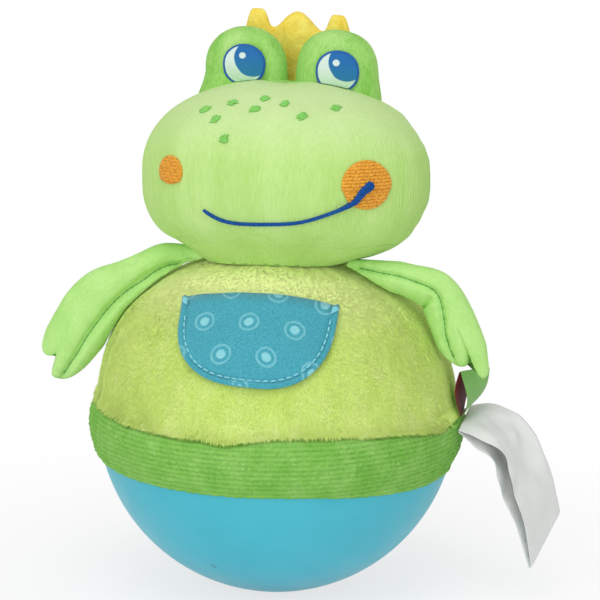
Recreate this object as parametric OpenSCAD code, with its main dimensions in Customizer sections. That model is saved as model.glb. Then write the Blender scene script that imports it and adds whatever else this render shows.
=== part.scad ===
// Roly poly toy: a stuffed frog on a weighted half-ball base with a chime.
// +Z is up, the face looks along -Y, and the origin is the middle of the flat foot.

/* [Base bowl] */
// Radius of the ball that the bowl is cut from
ball_r = 55; // [52:0.5:58]
// Radius of the flat that the toy stands on
foot_r = 8; // [6:0.5:11]
// Depth of the bowl's rim below the middle of the ball, as a share of the ball's radius
rim_share = 0.2145; // [0.18:0.001:0.24]
// Wall of the bowl
bowl_wall = 2.5; // [2:0.1:3]
// Height of the flat pad in the bowl that carries the ballast, as a share of the ball's radius
pad_share = 0.09; // [0.08:0.001:0.11]

/* [Ballast and chime] */
// Height of the ballast, as a share of the ball's radius
ballast_share = 0.236; // [0.2:0.001:0.25]
// Radius of the circle on which the ballast's posts stand, as a share of the ball's radius
post_circle_share = 0.364; // [0.33:0.001:0.42]
// Radius of a ballast post
post_r = 3.4; // [3:0.1:4]
// Radius of the chime carrier, as a share of the ball's radius
carrier_share = 0.51; // [0.48:0.01:0.56]
// Thickness of the chime carrier
carrier_h = 3; // [2.5:0.1:3.5]
// Radius of a chime rod
rod_r = 1.5; // [1.2:0.1:2]
// Difference in length from one chime rod to the next
rod_step = 1.2; // [0.8:0.1:1.6]
// Radius of the striker's ball
striker_ball_r = 3.5; // [3:0.1:4]
// Radius of the striker's stem
striker_stem_r = 1; // [0.8:0.1:1.3]
// Radius of the striker's hub
hub_r = 2.6; // [2.2:0.1:3]
// Width of the striker's hub
hub_w = 5; // [4:0.5:7]
// Radius of the striker's pin
pin_r = 1; // [0.8:0.1:1.2]

/* [Lid and screws] */
// Thickness of the lid's plate
lid_h = 2.5; // [2:0.1:3]
// Distance from the bowl's inner edge to the collar that the fabric is tied to
collar_inset = 2.65; // [2.4:0.05:3.2]
// Wall of the collar
collar_wall = 2.5; // [2:0.1:2.7]
// Height of the collar above the lid
collar_h = 6.5; // [5.5:0.1:7.5]
// Radius of the hem cord
hem_cord_r = 1; // [0.8:0.1:1.2]
// Distance from the collar's inside to the middle of a lid screw
lid_screw_inset = 4.5; // [4:0.1:6]
// Radius of a lid screw's boss
boss_r = 4; // [3.5:0.1:4.5]
// Radius of a screw's shank
screw_r = 1.5; // [1.2:0.1:1.8]
// Length of a screw below its head
screw_len = 11; // [9:0.5:12]
// Radius of a screw's head
screw_head_r = 3; // [2.6:0.1:3.2]
// Height of a screw's head
screw_head_h = 2; // [1.6:0.1:2.4]
// Thickness of a striker ear
ear_t = 2.5; // [2:0.1:3]

/* [Body] */
// How far the stuffed body stands out from the ball
body_swell = 1; // [0:0.1:4]
// Height of the body's top above the middle of the ball
body_h = 52; // [48:0.5:56]
// Thickness of the body's plush cover
cover_t = 2; // [1.6:0.1:2.4]
// Angle of the two side seams from the front
side_seam_angle = 70; // [60:1:80]
// Height of the band's upper edge above the middle of the ball
band_rise = 5; // [3:0.5:8]
// How far the band stands out from the body
band_bulge = 1.6; // [0.8:0.1:2]
// Width of the pocket
pocket_w = 46; // [36:1:50]
// Height of the pocket's open edge above the middle of the ball
pocket_rise = 43; // [40:0.5:44]
// Height of the pocket, measured straight down
pocket_drop = 22.5; // [18:0.5:26]
// Thickness of the pocket
pocket_t = 0.9; // [0.6:0.1:1.2]

/* [Head] */
// Width of the head
head_w = 87; // [80:0.5:92]
// Depth of the face in front of the middle of the head
face_depth = 30; // [28:0.5:34]
// Depth of the nape behind the middle of the head
nape_depth = 27; // [25:0.5:32]
// Height of the brow above the middle of the head
brow_h = 28.2; // [26:0.2:31]
// Depth of the chin below the middle of the head
chin_h = 23.5; // [22:0.5:26]
// How deep the body dents the head
neck_sink = 1.2; // [0.8:0.1:1.6]
// How far the head leans to the right
head_lean = 2.3; // [0:0.1:3]
// Angle by which the face is turned to the viewer's left
head_turn_angle = 6; // [0:1:10]
// Thickness of the head's velour cover
velour_t = 1.6; // [1.2:0.1:2]

/* [Eyes and crown] */
// Width of an eye dome
dome_w = 26.6; // [24:0.2:27]
// Depth of an eye dome
dome_d = 16; // [14:0.5:17]
// Height of a dome's round top
dome_h = 13.3; // [12:0.1:15]
// Height of a dome's straight side above the brow
dome_rise = 1.8; // [1:0.1:3]
// How far the domes' middles lie behind the middle of the head
dome_back = 8.5; // [8:0.1:9.5]
// Width of an eye
eye_w = 13.4; // [12:0.2:15]
// Height of an eye
eye_h = 12; // [11:0.2:13]
// Width of the crown
crown_w = 34; // [28:0.5:38]
// Height of the crown's valleys above the brow
crown_rise = 13; // [11:0.5:16]
// Height of a crown point
crown_point_h = 5.6; // [4:0.2:8]
// Thickness of the crown
crown_t = 4.4; // [3:0.2:5]

/* [Face] */
// Radius of the left cheek
left_cheek_r = 4.9; // [4:0.1:7]
// Radius of the right cheek
right_cheek_r = 7.8; // [5:0.1:9]
// Width of the mouth at its thin end
mouth_w = 1; // [0.8:0.1:1.5]
// Width of the mouth at its thick end
mouth_end_w = 2.8; // [2:0.1:3.5]
// Width of a freckle
freckle_w = 3.4; // [2.6:0.1:4]
// Height of a freckle
freckle_h = 2.4; // [1.8:0.1:3]
// Height to which embroidery stands up
stitch_t = 0.6; // [0.4:0.1:0.9]

/* [Arms] */
// Length of an arm
arm_len = 60; // [54:0.5:64]
// Greatest width of an arm, at the paw
arm_w = 15.6; // [13:0.2:17]
// Greatest thickness of an arm
arm_t = 8.4; // [6:0.2:9]
// Distance of a shoulder from the middle plane
shoulder_x = 23; // [22:0.5:25]

/* [Labels] */
// Length of the care label from its seam to its fold
label_len = 46; // [36:1:50]
// Width of the care label
label_w = 22; // [18:0.5:24]
// Greatest gap between the care label's two leaves
label_gap = 4; // [2:0.2:5]
// Height of the ribbon loop
ribbon_len = 13.5; // [10:0.5:14]
// Width of the ribbon
ribbon_w = 11; // [8:0.5:12]
// Greatest gap between the ribbon's two leaves
ribbon_gap = 3.2; // [2:0.2:3.4]
// Thickness of label and ribbon
tape_t = 0.4; // [0.3:0.05:0.6]

/* [Hidden] */
$fn = 64;

// Clearances and the overrun of every cut
shaft_fit = 0.05;
layer_gap = 0.2;
seat_gap = 0.35;
ballast_gap = 0.4;
striker_clear = 1.5;
rod_clear = 4;
strike_gap = 0.4;
pin_drop = 3.8;
overrun = 1;

// Angles of the joints that leave room in the shapes
nod_room = 7;
strike_angle = 42;

// Fullness of the swelling forms, 2 for an ellipse and more for a boxier shape
body_fullness = 2.15;
brow_fullness = 2.28;
chin_fullness = 3.27;
head_fullness = 2.2;
dome_fullness = 2.3;
pocket_fullness = 3.2;

// Steps of the swelling forms
profile_steps = 18;
face_az_steps = 20;
face_el_steps = 16;
nape_az_steps = 12;
ring_steps = 20;
filling_steps = 12;
dome_steps = 16;
arm_steps = 18;
crown_steps = 20;
crown_rows = 6;
tape_steps = 10;
disc_steps = 6;
spot_steps = 2;
mouth_steps = 2;

// Thickness of a stuffed form at its edges
edge_t = 0.5;

// Levels of the base
ball_z = sqrt(ball_r * ball_r - foot_r * foot_r);
rim_drop = rim_share * ball_r;
rim_z = ball_z - rim_drop;
bowl_in_r = ball_r - bowl_wall;
pad_h = pad_share * ball_r;
ballast_h = ballast_share * ball_r;
post_circle_r = post_circle_share * ball_r;
carrier_r = carrier_share * ball_r;
collar_r = sqrt(bowl_in_r * bowl_in_r - rim_drop * rim_drop) - collar_inset;
lid_screw_circle_r = collar_r - collar_wall - lid_screw_inset;
lid_z = rim_z - lid_h;
lid_r = sqrt(bowl_in_r * bowl_in_r - pow(ball_z - lid_z, 2)) - layer_gap;
collar_top_z = rim_z + collar_h;
ballast_top_z = pad_h + ballast_h;
carrier_top_z = ballast_top_z + carrier_h;
post_drop = bowl_wall / 2;
post_top_z = ballast_top_z - post_drop;

// Chime: the striker hangs from the lid, and its rods stand on the ballast
pivot_z = lid_z - pin_drop;
striker_len = pivot_z - carrier_top_z - striker_clear - striker_ball_r;
rod_spread_share = 0.9;
strike_reach = striker_ball_r + rod_r + strike_gap;
rod_y = strike_reach * rod_spread_share;
rod_x = striker_len * sin(strike_angle) + sqrt(strike_reach * strike_reach - rod_y * rod_y);
ear_y = hub_w / 2 + layer_gap;
ear_w = 2 * hub_r;
rod_sides = [[-1, -1], [1, -1], [-1, 1], [1, 1]];

// Body
body_r = ball_r + body_swell;
band_z = ball_z + band_rise;
neck_hole_r = body_r / 6;
hem_r = collar_r + layer_gap;
flange_t = cover_t * 3 / 4;
filling_r = body_r - cover_t - layer_gap;
filling_low_z = rim_z + screw_head_h + layer_gap;

// Head
head_centre = [head_lean, 0, ball_z + body_h + chin_h - neck_sink];
seam_angle = 96;
seam_half_gap = 0.3;
low_edge_angle = -86;
high_edge_angle = 89;
dome_x = dome_w / 2 + seat_gap;
dome_z = brow_h + dome_rise;
crown_back = dome_back + dome_d / 2 + crown_t / 2 + seat_gap;
crown_middle_share = 0.44;
crown_lean_angle = 3;
left_eye_angles = [4, 10];
right_eye_angles = [11, 5];
left_cheek_angles = [-41, 5];
right_cheek_angles = [44, 2.5];
mouth_angles = [[-22, -9], [-12, -17], [3, -16], [14, -14], [26, -8], [34, -4], [41, 0], [46, 2]];
freckle_angles = [
    [-38, 47], [-25, 40], [-15, 27], [-24, 55], [-6, 51], [-4, 62], [9, 57], [18, 46], [43, 53]
];

// Arms: the middle line runs out from the shoulder, in shares of the arm's length
arm_root_t = 1.6;
left_shoulder_y_share = -0.07;
right_shoulder_y_share = -0.11;
left_arm_shares = [
    [0, 0, 0], [-0.17, -0.01, 0.01], [-0.345, -0.035, -0.075], [-0.515, -0.06, -0.21],
    [-0.625, -0.085, -0.37], [-0.7, -0.1, -0.54], [-0.735, -0.105, -0.64]
];
right_arm_shares = [
    [0, 0, 0], [0.15, -0.03, -0.01], [0.3, -0.04, -0.03], [0.45, -0.045, -0.1],
    [0.53, -0.055, -0.25], [0.585, -0.075, -0.39], [0.64, -0.09, -0.56]
];
left_arm_width_shares = [0.12, 0.44, 0.66, 0.95, 1, 0.98, 0.9];
right_arm_width_shares = [0.12, 0.46, 0.6, 0.74, 0.86, 1, 0.9];
arm_depth_shares = [0.6, 0.8, 0.95, 1, 1, 0.95, 0.85];
arm_columns = [-1, -0.87, -0.62, -0.3, 0, 0.16, 0.32, 0.62, 0.87, 1];
paw_end_shares = [0.86, 0.94, 1, 0.98, 0.9, 0.86, 0.9, 0.95, 0.9, 0.83];
arm_lift_share = 0.02;

// Labels: seams on the band's right-hand side
label_angle = 87;
label_z = ball_z + band_rise / 5;
ribbon_angle = 87;
ribbon_z = label_z + 5 * tape_t;
label_bend_shares = [0.35, 0.02, -0.03];
label_end_shares = [0.54, 0.01, -0.8];
label_root_shares = [0.07, 0.99, 0.1];
label_tip_shares = [0.34, 0.73, 0.6];
ribbon_bend_shares = [0.16, 0, 0.5];
ribbon_end_shares = [0.24, 0, 0.96];
tape_root_gap = 0.5;
tape_fold_gap = 1;

// Colours
sky_blue = [0.3, 0.72, 0.82];
iron_grey = [0.25, 0.25, 0.27];
steel_grey = [0.75, 0.76, 0.78];
pale_grey = [0.85, 0.85, 0.83];
fibre_white = [0.95, 0.95, 0.92];
lime = [0.8, 0.89, 0.42];
grass_green = [0.45, 0.75, 0.3];
leaf_green = [0.58, 0.87, 0.42];
pale_green = [0.75, 0.9, 0.55];
teal = [0.3, 0.67, 0.77];
yellow = [0.96, 0.85, 0.32];
orange = [0.92, 0.59, 0.16];
ink_blue = [0.06, 0.3, 0.6];
white = [0.96, 0.96, 0.95];

// Forms

function unit(v) = v / norm(v);
function power(v, p) = sign(v) * pow(abs(v), p);
function turned(p, angle) =
    [p.x * cos(angle) - p.y * sin(angle), p.x * sin(angle) + p.y * cos(angle), p.z];
function mean(list) = [for (v = list) 1] * list / len(list);

// A smooth line through a list of points or numbers, at a place from 0 to 1
function along(list, place) =
    let (
        last = len(list) - 1,
        at = min(max(place, 0), 1) * last,
        i = min(floor(at), last - 1),
        f = at - i,
        a = list[max(i - 1, 0)],
        b = list[i],
        c = list[i + 1],
        d = list[min(i + 2, last)]
    )
    b + f * (c - a) / 2 + f * f * (a - 5 * b / 2 + 2 * c - d / 2) + f * f * f * (3 * (b - c) + d - a) / 2;

// A curve bent towards one control point
function bent(a, b, c, f) = (1 - f) * (1 - f) * a + 2 * f * (1 - f) * b + f * f * c;

// A square grid's point moved onto a disc of radius 1
function on_disc(u, v) = [u * sqrt(1 - v * v / 2), v * sqrt(1 - u * u / 2)];

// Height of the body's top above a point at a distance from the axis
function body_top_z(r) =
    r < body_r ? ball_z + body_h * pow(1 - pow(r / body_r, body_fullness), 1 / body_fullness) : ball_z;

// A point moved straight out from the ball's middle until it clears the body
function clear_of_body(p, gap) =
    let (
        v = p - [0, 0, ball_z],
        out = v.z > 0
            ? pow(pow(norm([v.x, v.y]) / (body_r + gap), body_fullness)
                + pow(v.z / (body_h + gap), body_fullness), 1 / body_fullness)
            : norm(v) / (body_r + gap)
    )
    out < 1 ? [0, 0, ball_z] + v / out : p;

// The head's surface, drawn in by an inset, at angles round from the face and up from the middle
function head_form(az, el, inset) =
    let (
        fullness = el < 0 ? chin_fullness : brow_fullness,
        ring = pow(cos(el), 2 / fullness),
        side = power(sin(az), 2 / head_fullness),
        front = power(cos(az), 2 / head_fullness)
    )
    [
        (head_w / 2 - inset) * side * ring,
        -((front < 0 ? nape_depth : face_depth) - inset) * front * ring,
        ((el < 0 ? chin_h : brow_h) - inset) * power(sin(el), 2 / fullness)
    ];

// The same point in place, with the dent that the body and the nod leave in the head
function on_head(p, inset) =
    let (
        q = turned(p, -head_turn_angle) + head_centre,
        low = body_top_z(norm([q.x, q.y])) + seat_gap + abs(q.y) * tan(nod_room) + inset
    )
    p.z < 0 ? [q.x, q.y, max(q.z, low)] : q;

function head_point(az, el, inset) = on_head(head_form(az, el, inset), inset);

// The angle up from the head's middle at which its surface has a height
function head_el(z) =
    z < 0 ? -asin(pow(-z / chin_h, chin_fullness / 2)) : asin(pow(z / brow_h, brow_fullness / 2));

function head_normal(az, el) =
    unit(cross(
        head_point(az + 1, el, 0) - head_point(az - 1, el, 0),
        head_point(az, el + 1, 0) - head_point(az, el - 1, 0)
    ));

// Height of the brow's surface above the head's middle
function brow_z(x, y) =
    let (
        ring = pow(2 * abs(x) / head_w, head_fullness)
            + pow(abs(y) / (y < 0 ? face_depth : nape_depth), head_fullness)
    )
    ring < 1 ? brow_h * pow(1 - pow(ring, brow_fullness / head_fullness), 1 / brow_fullness) : 0;

// A point of the head's own frame, put in place and kept off the brow
function above_brow(p) =
    turned([p.x, p.y, max(p.z, brow_z(p.x, p.y) + seat_gap)], -head_turn_angle) + head_centre;

// The surface of an eye dome, straight below its round top
function dome_form(side, az, el, inset) =
    let (ring = el < 0 ? 1 : pow(cos(el), 2 / dome_fullness))
    [
        side * dome_x + (dome_w / 2 - inset) * sin(az) * ring,
        dome_back - (dome_d / 2 - inset) * cos(az) * ring,
        dome_z + (dome_h - inset) * (el < 0 ? sin(el) : pow(sin(el), 2 / dome_fullness))
    ];

// A thick sheet between two grids of points, whose rows and columns turn towards its front
module slab(front, back) {
    rows = len(front) - 1;
    cols = len(front[0]) - 1;
    step = cols + 1;
    under = (rows + 1) * step;
    points = concat([for (row = front) each row], [for (row = back) each row]);
    cells = [for (i = [0 : rows - 1], j = [0 : cols - 1]) i * step + j];
    front_faces = [for (a = cells) each [[a, a + step + 1, a + step], [a, a + 1, a + step + 1]]];
    back_faces = [
        for (c = cells)
            let (a = c + under)
            each [[a, a + step, a + step + 1], [a, a + step + 1, a + 1]]
    ];
    side_faces = [
        for (i = [0 : rows - 1])
            let (a = i * step, b = a + step, d = a + cols, c = b + cols)
            each [
                [a, b, b + under], [a, b + under, a + under],
                [d, d + under, c + under], [d, c + under, c]
            ]
    ];
    end_faces = [
        for (j = [0 : cols - 1])
            let (a = j, d = j + 1, b = rows * step + j, c = b + 1)
            each [
                [d, a, a + under], [d, a + under, d + under],
                [b, c, c + under], [b, c + under, b + under]
            ]
    ];
    polyhedron(points, concat(front_faces, back_faces, side_faces, end_faces));
}

// A closed form through rings of points that climb and turn anticlockwise seen from above
module skin(rings) {
    last = len(rings) - 1;
    n = len(rings[0]);
    low = (last + 1) * n;
    points = concat([for (ring = rings) each ring], [mean(rings[0]), mean(rings[last])]);
    wall_faces = [
        for (i = [0 : last - 1], j = [0 : n - 1])
            let (a = i * n + j, d = i * n + (j + 1) % n, b = a + n, c = d + n)
            each [[a, b, c], [a, c, d]]
    ];
    cap_faces = [
        for (j = [0 : n - 1])
            let (k = (j + 1) % n)
            each [[j, k, low], [last * n + k, last * n + j, low + 1]]
    ];
    polyhedron(points, concat(wall_faces, cap_faces));
}

module on_circle(radius, count, first) {
    for (i = [0 : count - 1])
        rotate([0, 0, first + i * 360 / count])
            translate([radius, 0, 0])
                children();
}

module ball_at(radius) {
    translate([0, 0, ball_z])
        sphere(radius);
}

// A bore or hole that starts at a level and goes down, open above
module bore(radius, top, depth) {
    translate([0, 0, top - depth])
        cylinder(r = radius, h = depth + overrun);
}

module screw(seat) {
    translate([0, 0, seat - screw_len])
        cylinder(r = screw_r, h = screw_len);
    translate([0, 0, seat])
        cylinder(r = screw_head_r, h = screw_head_h);
}

// Base

module base_bowl() {
    color(sky_blue)
        difference() {
            union() {
                difference() {
                    intersection() {
                        ball_at(ball_r);
                        cylinder(r = ball_r, h = rim_z);
                    }
                    intersection() {
                        ball_at(bowl_in_r);
                        translate([0, 0, pad_h])
                            cylinder(r = ball_r, h = ball_r);
                    }
                }
                intersection() {
                    ball_at(ball_r - bowl_wall / 2);
                    union() {
                        on_circle(post_circle_r, 3, 90)
                            cylinder(r = post_r, h = post_top_z);
                        on_circle(lid_screw_circle_r, 4, 45)
                            cylinder(r = boss_r, h = lid_z);
                    }
                }
            }
            on_circle(post_circle_r, 3, 90)
                bore(screw_r + shaft_fit, carrier_top_z, screw_len + post_drop);
            on_circle(lid_screw_circle_r, 4, 45)
                bore(screw_r + shaft_fit, rim_z, screw_len + post_drop);
        }
}

module ballast_weight() {
    color(iron_grey)
        difference() {
            intersection() {
                ball_at(bowl_in_r - ballast_gap);
                translate([0, 0, pad_h])
                    cylinder(r = ball_r, h = ballast_h);
            }
            on_circle(post_circle_r, 3, 90)
                bore(post_r + layer_gap, ballast_top_z, ballast_top_z);
        }
}

module ballast_screws() {
    color(steel_grey)
        on_circle(post_circle_r, 3, 90)
            screw(carrier_top_z);
}

module chime_carrier() {
    color(pale_grey)
        difference() {
            translate([0, 0, ballast_top_z])
                cylinder(r = carrier_r, h = carrier_h);
            on_circle(post_circle_r, 3, 90)
                bore(screw_r + layer_gap, carrier_top_z, 2 * carrier_h);
            for (side = rod_sides)
                translate([side.x * rod_x, side.y * rod_y, 0])
                    bore(rod_r + shaft_fit, carrier_top_z, 2 * carrier_h);
        }
}

module chime_rod(i) {
    color(steel_grey)
        translate([rod_sides[i].x * rod_x, rod_sides[i].y * rod_y, ballast_top_z])
            cylinder(r = rod_r, h = lid_z - rod_clear - i * rod_step - ballast_top_z);
}

module chime_striker() {
    color(orange)
        translate([0, 0, pivot_z])
            difference() {
                union() {
                    rotate([90, 0, 0])
                        cylinder(r = hub_r, h = hub_w, center = true);
                    translate([0, 0, -striker_len])
                        cylinder(r = striker_stem_r, h = striker_len);
                    translate([0, 0, -striker_len])
                        sphere(striker_ball_r);
                }
                rotate([90, 0, 0])
                    cylinder(r = pin_r + shaft_fit, h = hub_w + 2 * overrun, center = true);
            }
}

module striker_pin() {
    color(steel_grey)
        translate([0, 0, pivot_z])
            rotate([90, 0, 0])
                cylinder(r = pin_r, h = 2 * (ear_y + ear_t), center = true);
}

module base_lid() {
    groove_z = rim_z + collar_h / 2;
    color(pale_grey)
        difference() {
            union() {
                translate([0, 0, lid_z])
                    cylinder(r = lid_r, h = lid_h);
                difference() {
                    translate([0, 0, lid_z])
                        cylinder(r = collar_r, h = collar_top_z - lid_z);
                    bore(collar_r - collar_wall, collar_top_z, collar_h);
                }
                for (side = [-1, 1])
                    translate([0, side * (ear_y + ear_t / 2), pivot_z]) {
                        rotate([90, 0, 0])
                            cylinder(d = ear_w, h = ear_t, center = true);
                        translate([-ear_w / 2, -ear_t / 2, 0])
                            cube([ear_w, ear_t, pin_drop + lid_h / 2]);
                    }
            }
            on_circle(lid_screw_circle_r, 4, 45)
                bore(screw_r + layer_gap, rim_z, 2 * lid_h);
            translate([0, 0, pivot_z])
                rotate([90, 0, 0])
                    cylinder(r = pin_r + shaft_fit, h = 4 * (ear_y + ear_t), center = true);
            translate([0, 0, groove_z])
                rotate_extrude()
                    translate([collar_r, 0])
                        circle(hem_cord_r + shaft_fit);
        }
}

module lid_screws() {
    color(steel_grey)
        on_circle(lid_screw_circle_r, 4, 45)
            screw(rim_z);
}

module hem_cord() {
    color(fibre_white)
        translate([0, 0, rim_z + collar_h / 2])
            rotate_extrude()
                translate([collar_r, 0])
                    circle(hem_cord_r);
}

// Body

// Points of the body's upper outline between two angles, drawn in by an inset
function body_outline(inset, low, high) = [
    for (i = [0 : profile_steps])
        let (e = low + (high - low) * i / profile_steps)
        [
            (body_r - inset) * pow(cos(e), 2 / body_fullness),
            ball_z + (body_h - inset) * pow(sin(e), 2 / body_fullness)
        ]
];
function angle_at_height(h, inset) = asin(pow(h / (body_h - inset), body_fullness / 2));
function angle_at_radius(r, inset) = acos(pow(r / (body_r - inset), body_fullness / 2));
function reversed(list) = [for (i = [len(list) - 1 : -1 : 0]) list[i]];

// A layer of the body from the band's edge up to the neck hole
function layer_outline(inset) =
    body_outline(inset, angle_at_height(band_rise, inset), angle_at_radius(neck_hole_r, inset));

module body_layer(out_inset, in_inset) {
    polygon(concat(layer_outline(out_inset), reversed(layer_outline(in_inset))));
}

module body_filling() {
    inset = cover_t + layer_gap;
    low_z = collar_top_z + layer_gap;
    low_angle = asin((low_z - ball_z) / filling_r);
    shoulder = [
        for (i = [0 : profile_steps])
            let (e = low_angle * (1 - i / profile_steps))
            [filling_r * cos(e), ball_z + filling_r * sin(e)]
    ];
    inner_r = collar_r - collar_wall - layer_gap;
    color(fibre_white)
        rotate_extrude()
            polygon(concat(
                [[0, filling_low_z], [inner_r, filling_low_z], [inner_r, low_z]],
                shoulder,
                [for (p = body_outline(inset, 0, 90)) if (p.y > ball_z) p]
            ));
}

module body_front_cover() {
    color(lime)
        rotate([0, 0, -90 - side_seam_angle])
            rotate_extrude(angle = 2 * side_seam_angle)
                body_layer(0, cover_t);
}

module body_back_cover() {
    color(lime)
        rotate([0, 0, side_seam_angle - 90])
            rotate_extrude(angle = 360 - 2 * side_seam_angle)
                body_layer(0, cover_t);
}

function band_r(z) =
    sqrt(body_r * body_r - pow(z - ball_z, 2)) + band_bulge * sqrt(sin(180 * (z - rim_z) / (band_z - rim_z)));

module body_band() {
    heights = [
        for (i = [0 : profile_steps])
            rim_z + (band_z - rim_z) * (1 - cos(180 * i / profile_steps)) / 2
    ];
    in_r = body_r - cover_t;
    flange_z = rim_z + flange_t;
    color(grass_green)
        rotate_extrude()
            polygon(concat(
                [[hem_r, rim_z]],
                [for (z = heights) [band_r(z), z]],
                [for (z = reversed(heights)) if (z > flange_z) [sqrt(in_r * in_r - pow(z - ball_z, 2)), z]],
                [[sqrt(in_r * in_r - pow(flange_z - ball_z, 2)), flange_z], [hem_r, flange_z]]
            ));
}

module pocket_outline() {
    polygon([
        for (i = [0 : profile_steps])
            let (e = 180 * i / profile_steps)
            [
                pocket_w / 2 * power(cos(e), 2 / pocket_fullness),
                -pocket_drop * pow(sin(e), 2 / pocket_fullness)
            ]
    ]);
}

module pocket() {
    color(teal)
        intersection() {
            rotate_extrude()
                body_layer(-layer_gap - pocket_t, -layer_gap);
            translate([0, 0, ball_z + pocket_rise])
                rotate([90, 0, 0])
                    linear_extrude(body_r + band_bulge + pocket_t)
                        pocket_outline();
        }
}

// Head

// A panel of the head's cover between two angles round from the face
module head_panel(low_az, high_az, az_steps) {
    azs = [for (i = [0 : az_steps]) low_az + (high_az - low_az) * i / az_steps];
    els = [
        for (j = [0 : face_el_steps])
            low_edge_angle + (high_edge_angle - low_edge_angle) * j / face_el_steps
    ];
    slab(
        [for (az = azs) [for (el = els) head_point(az, el, 0)]],
        [for (az = azs) [for (el = els) head_point(az, el, velour_t)]]
    );
}

module face_cover() {
    color(pale_green)
        head_panel(seam_half_gap - seam_angle, seam_angle - seam_half_gap, face_az_steps);
}

module head_back_cover() {
    color(leaf_green)
        head_panel(seam_angle + seam_half_gap, 360 - seam_angle - seam_half_gap, nape_az_steps);
}

module head_filling() {
    inset = velour_t + layer_gap;
    color(fibre_white)
        skin([
            for (j = [0 : filling_steps])
                let (el = low_edge_angle + (high_edge_angle - low_edge_angle) * j / filling_steps)
                [for (i = [0 : ring_steps - 1]) head_point(360 * i / ring_steps, el, inset)]
        ]);
}

// A stuffed dome whose base lies on the brow
module eye_dome(side) {
    base_shares = [0.3, 0.7, 1];
    top_angles = [10, 24, 38, 52, 66, 80];
    foot = [for (i = [0 : dome_steps - 1]) dome_form(side, 360 * i / dome_steps, 0, 0)];
    middle = [side * dome_x, dome_back, 0];
    base = [
        for (share = base_shares)
            [for (p = foot) above_brow(middle + share * ([p.x, p.y, 0] - middle))]
    ];
    top = [
        for (el = top_angles)
            [for (i = [0 : dome_steps - 1]) above_brow(dome_form(side, 360 * i / dome_steps, el, 0))]
    ];
    color(leaf_green)
        skin(concat(base, top));
}

module left_eye_dome() {
    eye_dome(-1);
}

module right_eye_dome() {
    eye_dome(1);
}

// A printed patch on a dome
module eye(side, angles) {
    grid = [for (i = [0 : disc_steps]) 2 * i / disc_steps - 1];
    az_scale = eye_w / dome_w * 180 / PI;
    el_scale = eye_h / dome_h / 2 * 180 / PI;
    layers = [
        for (inset = [-layer_gap - stitch_t, -layer_gap])
            [
                for (u = grid)
                    [
                        for (v = grid)
                            let (d = on_disc(u, v))
                            above_brow(dome_form(
                                side, angles[0] + d.x * az_scale, angles[1] + d.y * el_scale, inset))
                    ]
            ]
    ];
    color(white)
        slab(layers[0], layers[1]);
}

module left_eye() {
    eye(-1, left_eye_angles);
}

module right_eye() {
    eye(1, right_eye_angles);
}

// Height of the crown's upper edge above its valleys, across half of its width from 0 to 1
function crown_point(share) =
    crown_point_h * (share < crown_middle_share
        ? cos(90 * share / crown_middle_share)
        : sin(180 * (share - crown_middle_share) / (1 - crown_middle_share)));

function crown_form(u, v, side) =
    let (
        x = u * crown_w / 2,
        low = brow_z(x, crown_back + crown_t / 2) + seat_gap,
        high = brow_h + crown_rise + crown_point(abs(u)) - x * tan(crown_lean_angle),
        thick = edge_t + (crown_t - edge_t) * sqrt(1 - u * u) * sqrt(1 - pow(v, 4))
    )
    above_brow([x, crown_back - side * thick / 2, low + (high - low) * v]);

module crown() {
    us = [for (i = [0 : crown_steps]) 2 * i / crown_steps - 1];
    vs = [for (j = [0 : crown_rows]) j / crown_rows];
    color(yellow)
        slab(
            [for (u = us) [for (v = vs) crown_form(u, v, 1)]],
            [for (u = us) [for (v = vs) crown_form(u, v, -1)]]
        );
}

// An embroidered disc on the face
module face_disc(angles, half_w, half_h, steps) {
    grid = [for (i = [0 : steps]) 2 * i / steps - 1];
    az = angles[0];
    el = angles[1];
    rise = head_point(az, el + 1, 0) - head_point(az, el - 1, 0);
    az_scale = 2 * half_w / norm(head_point(az + 1, el, 0) - head_point(az - 1, el, 0));
    z_scale = half_h * rise.z / norm(rise);
    middle_z = head_form(az, el, 0).z;
    layers = [
        for (lift = [layer_gap + stitch_t, layer_gap])
            [
                for (u = grid)
                    [
                        for (v = grid)
                            let (d = on_disc(u, v))
                            head_point(az + d.x * az_scale, head_el(middle_z + d.y * z_scale), -lift)
                    ]
            ]
    ];
    slab(layers[0], layers[1]);
}

module left_cheek() {
    color(orange)
        face_disc(left_cheek_angles, left_cheek_r, left_cheek_r, disc_steps);
}

module right_cheek() {
    color(orange)
        face_disc(right_cheek_angles, right_cheek_r, right_cheek_r, disc_steps);
}

module mouth() {
    steps = mouth_steps * (len(mouth_angles) - 1);
    places = [for (i = [0 : steps]) i / steps];
    line = [for (f = places) let (a = along(mouth_angles, f)) head_point(a[0], a[1], 0)];
    normals = [for (f = places) let (a = along(mouth_angles, f)) head_normal(a[0], a[1])];
    layers = [
        for (top = [1, 0])
            [
                for (i = [0 : steps])
                    let (
                        tangent = unit(line[min(i + 1, steps)] - line[max(i - 1, 0)]),
                        across = cross(normals[i], tangent),
                        half = (mouth_w + (mouth_end_w - mouth_w) * pow(places[i], 3)) / 2,
                        lift = layer_gap + places[i] * (layer_gap + stitch_t)
                    )
                    [
                        for (k = [-1, 0, 1])
                            line[i] + across * half * k
                                + normals[i] * (lift + top * stitch_t * (2 - abs(k)) / 2)
                    ]
            ]
    ];
    color(ink_blue)
        slab(layers[0], layers[1]);
}

module freckles() {
    color(leaf_green)
        for (angles = freckle_angles)
            face_disc(angles, freckle_w / 2, freckle_h / 2, spot_steps);
}

// Arms

function shoulder(side, y_share) =
    let (x = side * shoulder_x, y = y_share * arm_len)
    [x, y, body_top_z(norm([x, y])) + seat_gap + arm_root_t / 2];

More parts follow.
